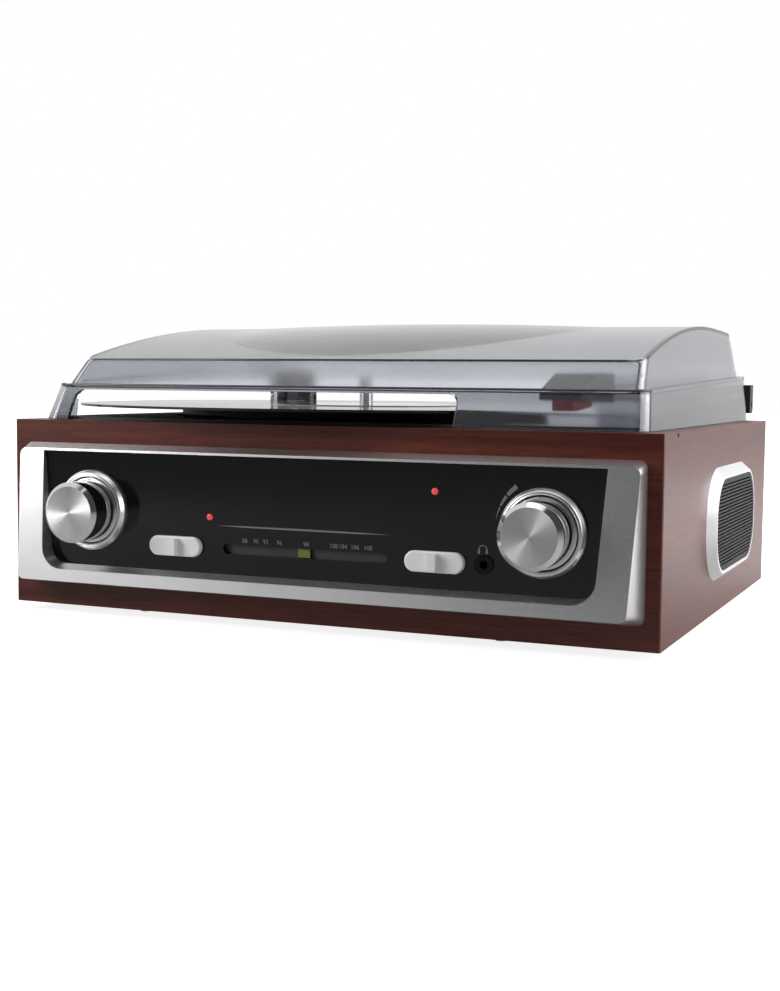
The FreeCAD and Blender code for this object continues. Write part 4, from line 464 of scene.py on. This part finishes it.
def dress_colours():
    """Stylus, lamps, label, dial and board."""
    red = speckled("stylus_red", (0.66, 0.010, 0.012), 0.15, FINE_GRAIN, roughness=0.25, bump=0.03)
    red.put("stylus")
    lamp = speckled("lamp_red", (0.62, 0.06, 0.05), 0.1, FINE_GRAIN, roughness=0.2, bump=0.02,
                    Emission_Color=(1.0, 0.10, 0.08, 1.0), Emission_Strength=0.35)
    lamp.put("stereo_led", "power_led")
    paper = speckled("label_paper", (0.24, 0.018, 0.016), 0.12, PAPER_GRAIN, roughness=0.2, bump=0.01,
                     Coat_Weight=1.0, Coat_Roughness=0.03)
    paper.put("record_label")
    grey = speckled("dial_grey", (0.042, 0.042, 0.042), 0.12, FINE_GRAIN, roughness=0.4, bump=0.05)
    grey.put("dial_scale")
    green = speckled("pointer_green", (0.16, 0.185, 0.035), 0.12, FINE_GRAIN, roughness=0.35, bump=0.03)
    green.put("dial_pointer")
    circuit_finish().put("circuit_board")


def mesh_of(shape, name):
    """Mesh of a shape, which is then freed."""
    mesh = bpy.data.meshes.new(name)
    shape.to_mesh(mesh)
    shape.free()
    return mesh


def mesh_from_curve(curve):
    """Mesh of a curve or a text, which is then removed."""
    drawn = shown(curve.name, curve)
    bpy.context.view_layer.update()
    mesh = bpy.data.meshes.new_from_object(drawn.evaluated_get(bpy.context.evaluated_depsgraph_get()))
    bpy.data.objects.remove(drawn)
    bpy.data.curves.remove(curve)
    return mesh


def keep_piece(name, mesh, finish, body):
    """New piece of a mesh in row-frame metres, riding on a body."""
    mesh.materials.clear()
    mesh.materials.append(finish.material)
    piece = shown(name, mesh)
    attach(piece, body)


def arc(middle, radius, start, end, steps, end_radius=None):
    """Points on an arc, in degrees from the first axis, whose radius may change evenly to an end radius."""
    change = 0.0 if end_radius is None else end_radius - radius
    points = []
    for step in range(steps + 1):
        share = step / steps
        angle = math.radians(start + (end - start) * share)
        reach = radius + change * share
        points.append((middle[0] + reach * math.cos(angle), middle[1] + reach * math.sin(angle)))
    return points


# Printing on the black panel, in millimetres and degrees.
PANEL_FRONT = from_cabinet(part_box("dial_panel")[0]).y
PRINT_THICKNESS = 0.05
DIAL_NUMBERS = (("88", -29.7), ("90", -24.0), ("92", -18.9), ("96", -11.9), ("98", 1.5), ("100", 15.2),
                ("104", 19.7), ("106", 25.6), ("108", 31.9))
NUMBER_Z = 37.05
NUMBER_HEIGHT = 2.0
FONT_SHARE = 1.4
PANEL_LINE = ((-44.4, 43.3), (-30.0, 42.95), (0.0, 42.85), (28.0, 42.95), (43.1, 43.3), (28.0, 43.6),
              (0.0, 43.75), (-30.0, 43.65))
WEDGE_MIDDLE = 112.0, 47.6
WEDGE_INNER, WEDGE_WIDTH, WEDGE_TIP = 21.4, 2.1, 0.05
WEDGE_CUTS = (122.0, 136.0), (138.0, 151.0), (153.0, 167.5)
WEDGE_STEPS = 10
SIGN_X, SIGN_Z = 85.4, 39.1
SIGN_OUTER, SIGN_INNER, SIGN_STEPS = 2.1, 1.75, 16
CUP_INNER, CUP_OUTER = 1.25, 2.25
CUP_LEFT_LOW, CUP_LEFT_HIGH = -1.9, 0.3
CUP_RIGHT_LOW, CUP_RIGHT_HIGH = -1.6, 0.1


def add_print(name, outlines, finish):
    """Thin printed piece on the panel: each outline of (x, z) corners is raised a little."""
    shape = bmesh.new()
    for outline in outlines:
        rings = []
        for depth in (0.0, PRINT_THICKNESS):
            rings.append([shape.verts.new(spot(x, PANEL_FRONT - depth, z)) for x, z in outline])
        back, front = rings
        shape.faces.new(front)
        shape.faces.new(list(reversed(back)))
        for first in range(len(outline)):
            second = (first + 1) % len(outline)
            shape.faces.new((back[first], back[second], front[second], front[first]))
    bmesh.ops.recalc_face_normals(shape, faces=shape.faces)
    keep_piece(name, mesh_of(shape, name), finish, "cabinet")


def add_number(text, x, finish):
    """Plain number above the dial."""
    curve = bpy.data.curves.new("number", "FONT")
    curve.body = text
    curve.align_x = "CENTER"
    curve.size = NUMBER_HEIGHT * FONT_SHARE * MM
    curve.extrude = PRINT_THICKNESS / 2 * MM
    mesh = mesh_from_curve(curve)
    mesh.transform(Matrix.Rotation(math.radians(90.0), 4, "X"))
    foot = spot(x, PANEL_FRONT - PRINT_THICKNESS / 2, NUMBER_Z - NUMBER_HEIGHT / 2)
    mesh.transform(Matrix.Translation(foot))
    keep_piece("dial_number_" + text, mesh, finish, "cabinet")


def wedge_outlines():
    """Parts of the volume wedge: arc bands whose outer edge runs in towards the wedge's end."""
    wide_end, thin_end = WEDGE_CUTS[0][0], WEDGE_CUTS[-1][1]
    outlines = []
    for cut in WEDGE_CUTS:
        widths = [WEDGE_WIDTH * (thin_end - angle) / (thin_end - wide_end) for angle in cut]
        outer_start, outer_end = (WEDGE_INNER + width + WEDGE_TIP for width in widths)
        inner = arc(WEDGE_MIDDLE, WEDGE_INNER, *cut, WEDGE_STEPS)
        outer = arc(WEDGE_MIDDLE, outer_start, *cut, WEDGE_STEPS, outer_end)
        outlines.append(inner + outer[::-1])
    return outlines


def sign_outlines():
    """Headphones: a band over two cups."""
    middle = SIGN_X, SIGN_Z
    band = arc(middle, SIGN_OUTER, 0.0, 180.0, SIGN_STEPS) + arc(middle, SIGN_INNER, 180.0, 0.0, SIGN_STEPS)
    cups = []
    for side in (-1, 1):
        left, right = sorted((SIGN_X + side * CUP_INNER, SIGN_X + side * CUP_OUTER))
        cups.append([(left, SIGN_Z + CUP_LEFT_LOW), (right, SIGN_Z + CUP_RIGHT_LOW),
                     (right, SIGN_Z + CUP_RIGHT_HIGH), (left, SIGN_Z + CUP_LEFT_HIGH)])
    return [band, *cups]


def add_printing():
    """Numbers, fine line, volume wedge and headphone sign on the panel."""
    grey = speckled("print_grey", (0.16, 0.16, 0.16), 0.06, FINE_GRAIN, roughness=0.6, bump=0.02)
    silver = speckled("print_silver", (0.17, 0.17, 0.17), 0.05, FINE_GRAIN, roughness=0.4, bump=0.02)
    for text, x in DIAL_NUMBERS:
        add_number(text, x, grey)
    add_print("panel_line", [PANEL_LINE], silver)
    add_print("volume_wedge", wedge_outlines(), silver)
    add_print("headphone_sign", sign_outlines(), grey)


# Painted dark lines along the dust cover's edges, standing for the dark refraction in the acrylic's edges, in
# millimetres from the middle of the cabinet's underside.
SHADE_LINE_RADIUS, SIDE_SHADE_LINE_RADIUS = 0.5, 0.22
COVER_CORNER, CORNER_STEPS = 8.0, 8
LEDGE_FRONT_Y, LEDGE_FRONT_Z, LEDGE_RISE_SHARE = -120.5, 106.8, 0.033
FOOT_HALF_WIDTH, FOOT_FRONT = 145.9, -108.5
BRIM_HALF_WIDTH, BRIM_FRONT = 149.2, -111.8
SIDE_SHADE_LINE_X, SIDE_SHADE_LINE_FRONT = 145.95, -100.5
SIDE_SHADE_LINE_LENGTH, SIDE_SHADE_LINE_STEPS = 215.0, 12
CREST_LEFT = [(-143.4, -105.6, 107.6), (-141.9, -94.8, 118.6), (-140.2, -94.3, 119.7), (-136.0, -95.8, 119.9)]


def add_shade_line(name, points, finish, radius=SHADE_LINE_RADIUS):
    """Fine round dark line along an edge of the cover, painted shade for the dark refraction in the acrylic's
    edge.
    """
    curve = bpy.data.curves.new(name, "CURVE")
    curve.dimensions = "3D"
    curve.bevel_depth = radius * MM
    curve.bevel_resolution = 2
    curve.use_fill_caps = True
    line = curve.splines.new("POLY")
    line.points.add(len(points) - 1)
    for point, place in zip(line.points, points):
        point.co = (*spot(*place), 1.0)
    keep_piece(name, mesh_from_curve(curve), finish, "cover")


def on_ledge(outline):
    """Points of an outline laid on the cover's rising ledge."""
    return [(x, y, LEDGE_FRONT_Z + LEDGE_RISE_SHARE * (y - LEDGE_FRONT_Y)) for x, y in outline]


def round_front(half_width, front):
    """Outline of a front edge with its two round corners, from left to right."""
    points = []
    for side, start, end in ((-1, 180.0, 270.0), (1, 270.0, 360.0)):
        middle = side * (half_width - COVER_CORNER), front + COVER_CORNER
        points += arc(middle, COVER_CORNER, start, end, CORNER_STEPS)
    return points


def add_cover_edges():
    """Painted dark lines on the cover's edges, standing for the dark refraction in the acrylic's edges: round
    the hood's crest and foot, and round the brim.
    """
    # Near-black finish that paints the shade of the acrylic's edges.
    edge_shade = speckled("painted_edge_shade", (0.035, 0.038, 0.055), 0.15, FINE_GRAIN, roughness=0.15, bump=0.02)
    add_shade_line("cover_foot_shade_line", on_ledge(round_front(FOOT_HALF_WIDTH, FOOT_FRONT)), edge_shade)
    add_shade_line("cover_brim_shade_line", on_ledge(round_front(BRIM_HALF_WIDTH, BRIM_FRONT)), edge_shade)
    shares = [step / SIDE_SHADE_LINE_STEPS for step in range(SIDE_SHADE_LINE_STEPS + 1)]
    for side, name in ((-1, "cover_left_shade_line"), (1, "cover_right_shade_line")):
        run = [(side * SIDE_SHADE_LINE_X, SIDE_SHADE_LINE_FRONT + SIDE_SHADE_LINE_LENGTH * share) for share in shares]
        add_shade_line(name, on_ledge(run), edge_shade, SIDE_SHADE_LINE_RADIUS)
    crest_right = [(-x, y, z) for x, y, z in reversed(CREST_LEFT)]
    add_shade_line("cover_crest_shade_line", CREST_LEFT + crest_right, edge_shade)


# Fasteners: screws at the rear panel's corners, and one pin in the right side, in millimetres.
REAR_FACE = from_cabinet(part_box("rear_panel")[1]).y
SCREW_RADIUS, SCREW_HEIGHT, SCREW_ROUNDING = 3.0, 1.3, 0.6
SCREW_X, SCREW_LOW_Z, SCREW_TOP_Z = 113.0, 17.0, 73.0
CROSS_LENGTH, CROSS_DEPTH, CROSS_WIDTH = 3.2, 0.1, 0.6
PIN_RADIUS, PIN_HEIGHT, PIN_ROUNDING = 0.9, 0.35, 0.25
PIN_PLACE = spot(from_cabinet(cabinet_high).x, -103.2, 88.8)
HEAD_STEPS, ROUNDING_STEPS = 24, 4


def turned_head(radius, height, rounding):
    """Round head of a fastener, its axis along +Y from zero, in millimetres."""
    shape = bmesh.new()
    corner = radius - rounding, height - rounding
    profile = [(radius, 0.0)] + arc(corner, rounding, 0.0, 90.0, ROUNDING_STEPS)
    rings = []
    for reach, out in profile:
        circle = arc((0.0, 0.0), reach, 0.0, 360.0, HEAD_STEPS)[:-1]
        rings.append([shape.verts.new((x, out, z)) for x, z in circle])
    for lower, upper in zip(rings, rings[1:]):
        for step in range(HEAD_STEPS):
            after = (step + 1) % HEAD_STEPS
            shape.faces.new((lower[step], lower[after], upper[after], upper[step]))
    shape.faces.new(rings[0])
    shape.faces.new(rings[-1])
    return shape


def cross_slot():
    """Crossed bars in the top of a screw's head, in millimetres; their dark finish is painted shade for the
    cross recess.
    """
    shape = bmesh.new()
    size = Matrix.Diagonal((CROSS_LENGTH, CROSS_DEPTH, CROSS_WIDTH, 1.0))
    for turn in (45.0, 135.0):
        spin = Matrix.Rotation(math.radians(turn), 4, "Y")
        bar = bmesh.ops.create_cube(shape, size=1.0, matrix=spin @ size)
        bmesh.ops.translate(shape, verts=bar["verts"], vec=(0.0, SCREW_HEIGHT, 0.0))
    return shape


def placed(shape, name, place, turn=Matrix.Identity(4)):
    """Mesh of a shape in millimetres, turned and put at its place."""
    bmesh.ops.recalc_face_normals(shape, faces=shape.faces)
    mesh = mesh_of(shape, name)
    mesh.transform(Matrix.Translation(place) @ turn @ Matrix.Scale(MM, 4))
    return mesh


def add_fasteners():
    """Cross-head screws at the rear panel's corners, with dark crosses as painted shade in their recesses,
    and the small pin at the right side's top.
    """
    steel = brushed("screw_steel", (0.30, 0.30, 0.31), (900.0, 900.0, 900.0), roughness=0.3)
    # Near-black finish: painted shade in the screws' cross recesses, and the side pin's dark colour.
    dark = speckled("slot_shade_and_pin_black", (0.008, 0.008, 0.008), 0.2, FINE_GRAIN, roughness=0.6, bump=0.05)
    for level, z in (("low", SCREW_LOW_Z), ("top", SCREW_TOP_Z)):
        for side, x in (("left", -SCREW_X), ("right", SCREW_X)):
            label = level + "_" + side
            place = spot(x, REAR_FACE, z)
            head = placed(turned_head(SCREW_RADIUS, SCREW_HEIGHT, SCREW_ROUNDING), "rear_screw", place)
            keep_piece("rear_screw_" + label, head, steel, "cabinet")
            cross = placed(cross_slot(), "rear_cross", place)
            keep_piece("rear_cross_" + label, cross, dark, "cabinet")
    outward = Matrix.Rotation(math.radians(-90.0), 4, "Z")
    pin = placed(turned_head(PIN_RADIUS, PIN_HEIGHT, PIN_ROUNDING), "side_pin", PIN_PLACE, outward)
    keep_piece("side_pin", pin, dark, "cabinet")


# Floor: its reach, the stretch over which it grows paler, its tones and how much it glows when seen.
FLOOR_REACH = 6.0
FLOOR_FRONT, FLOOR_REAR = -0.3, 0.3
FLOOR_TONES = (0.0, 0.26, 0.26, 0.26), (1.0, 0.9, 0.9, 0.9)
FLOOR_GLOW = 0.86


def add_floor():
    """Pale floor, greyer in front of the player so that its front isn't lit from below."""
    shape = bmesh.new()
    bmesh.ops.create_grid(shape, x_segments=1, y_segments=1, size=FLOOR_REACH)
    floor = shown("floor", mesh_of(shape, "floor"))
    finish = Finish("floor_white", Roughness=0.9, Specular_IOR_Level=0.0, Emission_Color=(1.0, 1.0, 1.0, 1.0))
    along = finish.split(finish.place(), "Y")[0]
    depth = finish.spread(along, 0.0, 1.0, FLOOR_FRONT, FLOOR_REAR)
    finish.feed(finish.ramp(depth, *FLOOR_TONES), "Base Color")
    finish.feed(finish.maths("MULTIPLY", finish.seen(), FLOOR_GLOW), "Emission Strength")
    floor.data.materials.append(finish.material)


# Room: its light, and a dark part in front, from its inner to its outer angle in degrees.
ROOM_LIGHT, ROOM_DARK = 0.8, 0.06
DARK_TOWARD = Vector((0.39, -0.92, 0.45)).normalized()
DARK_INNER, DARK_OUTER = 40.0, 60.0


def add_room():
    """White room that is dark in front, so that the glossy panel stays black."""
    world = bpy.data.worlds.new("studio")
    bpy.context.scene.world = world
    world.use_nodes = True
    room = Tree(world.node_tree)
    way = room.add("TexCoord").outputs["Generated"]
    toward = room.made("VectorMath", "Value", {0: way, 1: DARK_TOWARD}, operation="DOT_PRODUCT")
    outer, inner = (math.cos(math.radians(angle)) for angle in (DARK_OUTER, DARK_INNER))
    shade = room.spread(toward, ROOM_LIGHT, ROOM_DARK, outer, inner, "SMOOTHSTEP")
    background = room.tree.nodes["Background"]
    room.give(background.inputs["Color"], room.maths("MAXIMUM", room.seen(), shade))
    room.give(background.inputs["Strength"], 1.0)


# Soft lights: name, place, aim, width in metres and power in watts.
LIGHTS = (
    ("left_light", Vector((-0.6, -0.5, 0.35)), Vector((-0.1, -0.1, 0.05)), 0.35, 4.0),
    ("top_light", Vector((0.1, -0.1, 1.4)), Vector((0.0, 0.0, 0.1)), 1.2, 4.0),
    ("side_light", Vector((1.3, 0.25, 0.55)), Vector((0.15, 0.0, 0.05)), 1.4, 27.0),
)


def add_lights():
    """Square soft lights aimed at the player."""
    for name, place, aim, width, power in LIGHTS:
        light = bpy.data.lights.new(name, "AREA")
        light.shape = "SQUARE"
        light.size = width
        light.energy = power
        lamp = shown(name, light)
        lamp.location = place
        lamp.rotation_euler = (aim - place).to_track_quat("-Z", "Y").to_euler()


add_camera()
dress_woods()
dress_silvers()
dress_metals()
dress_blacks()
dress_colours()
dress_cover()
add_printing()
add_cover_edges()
add_fasteners()
add_floor()
add_room()
add_lights()
bpy.context.scene.view_settings.view_transform = "Standard"
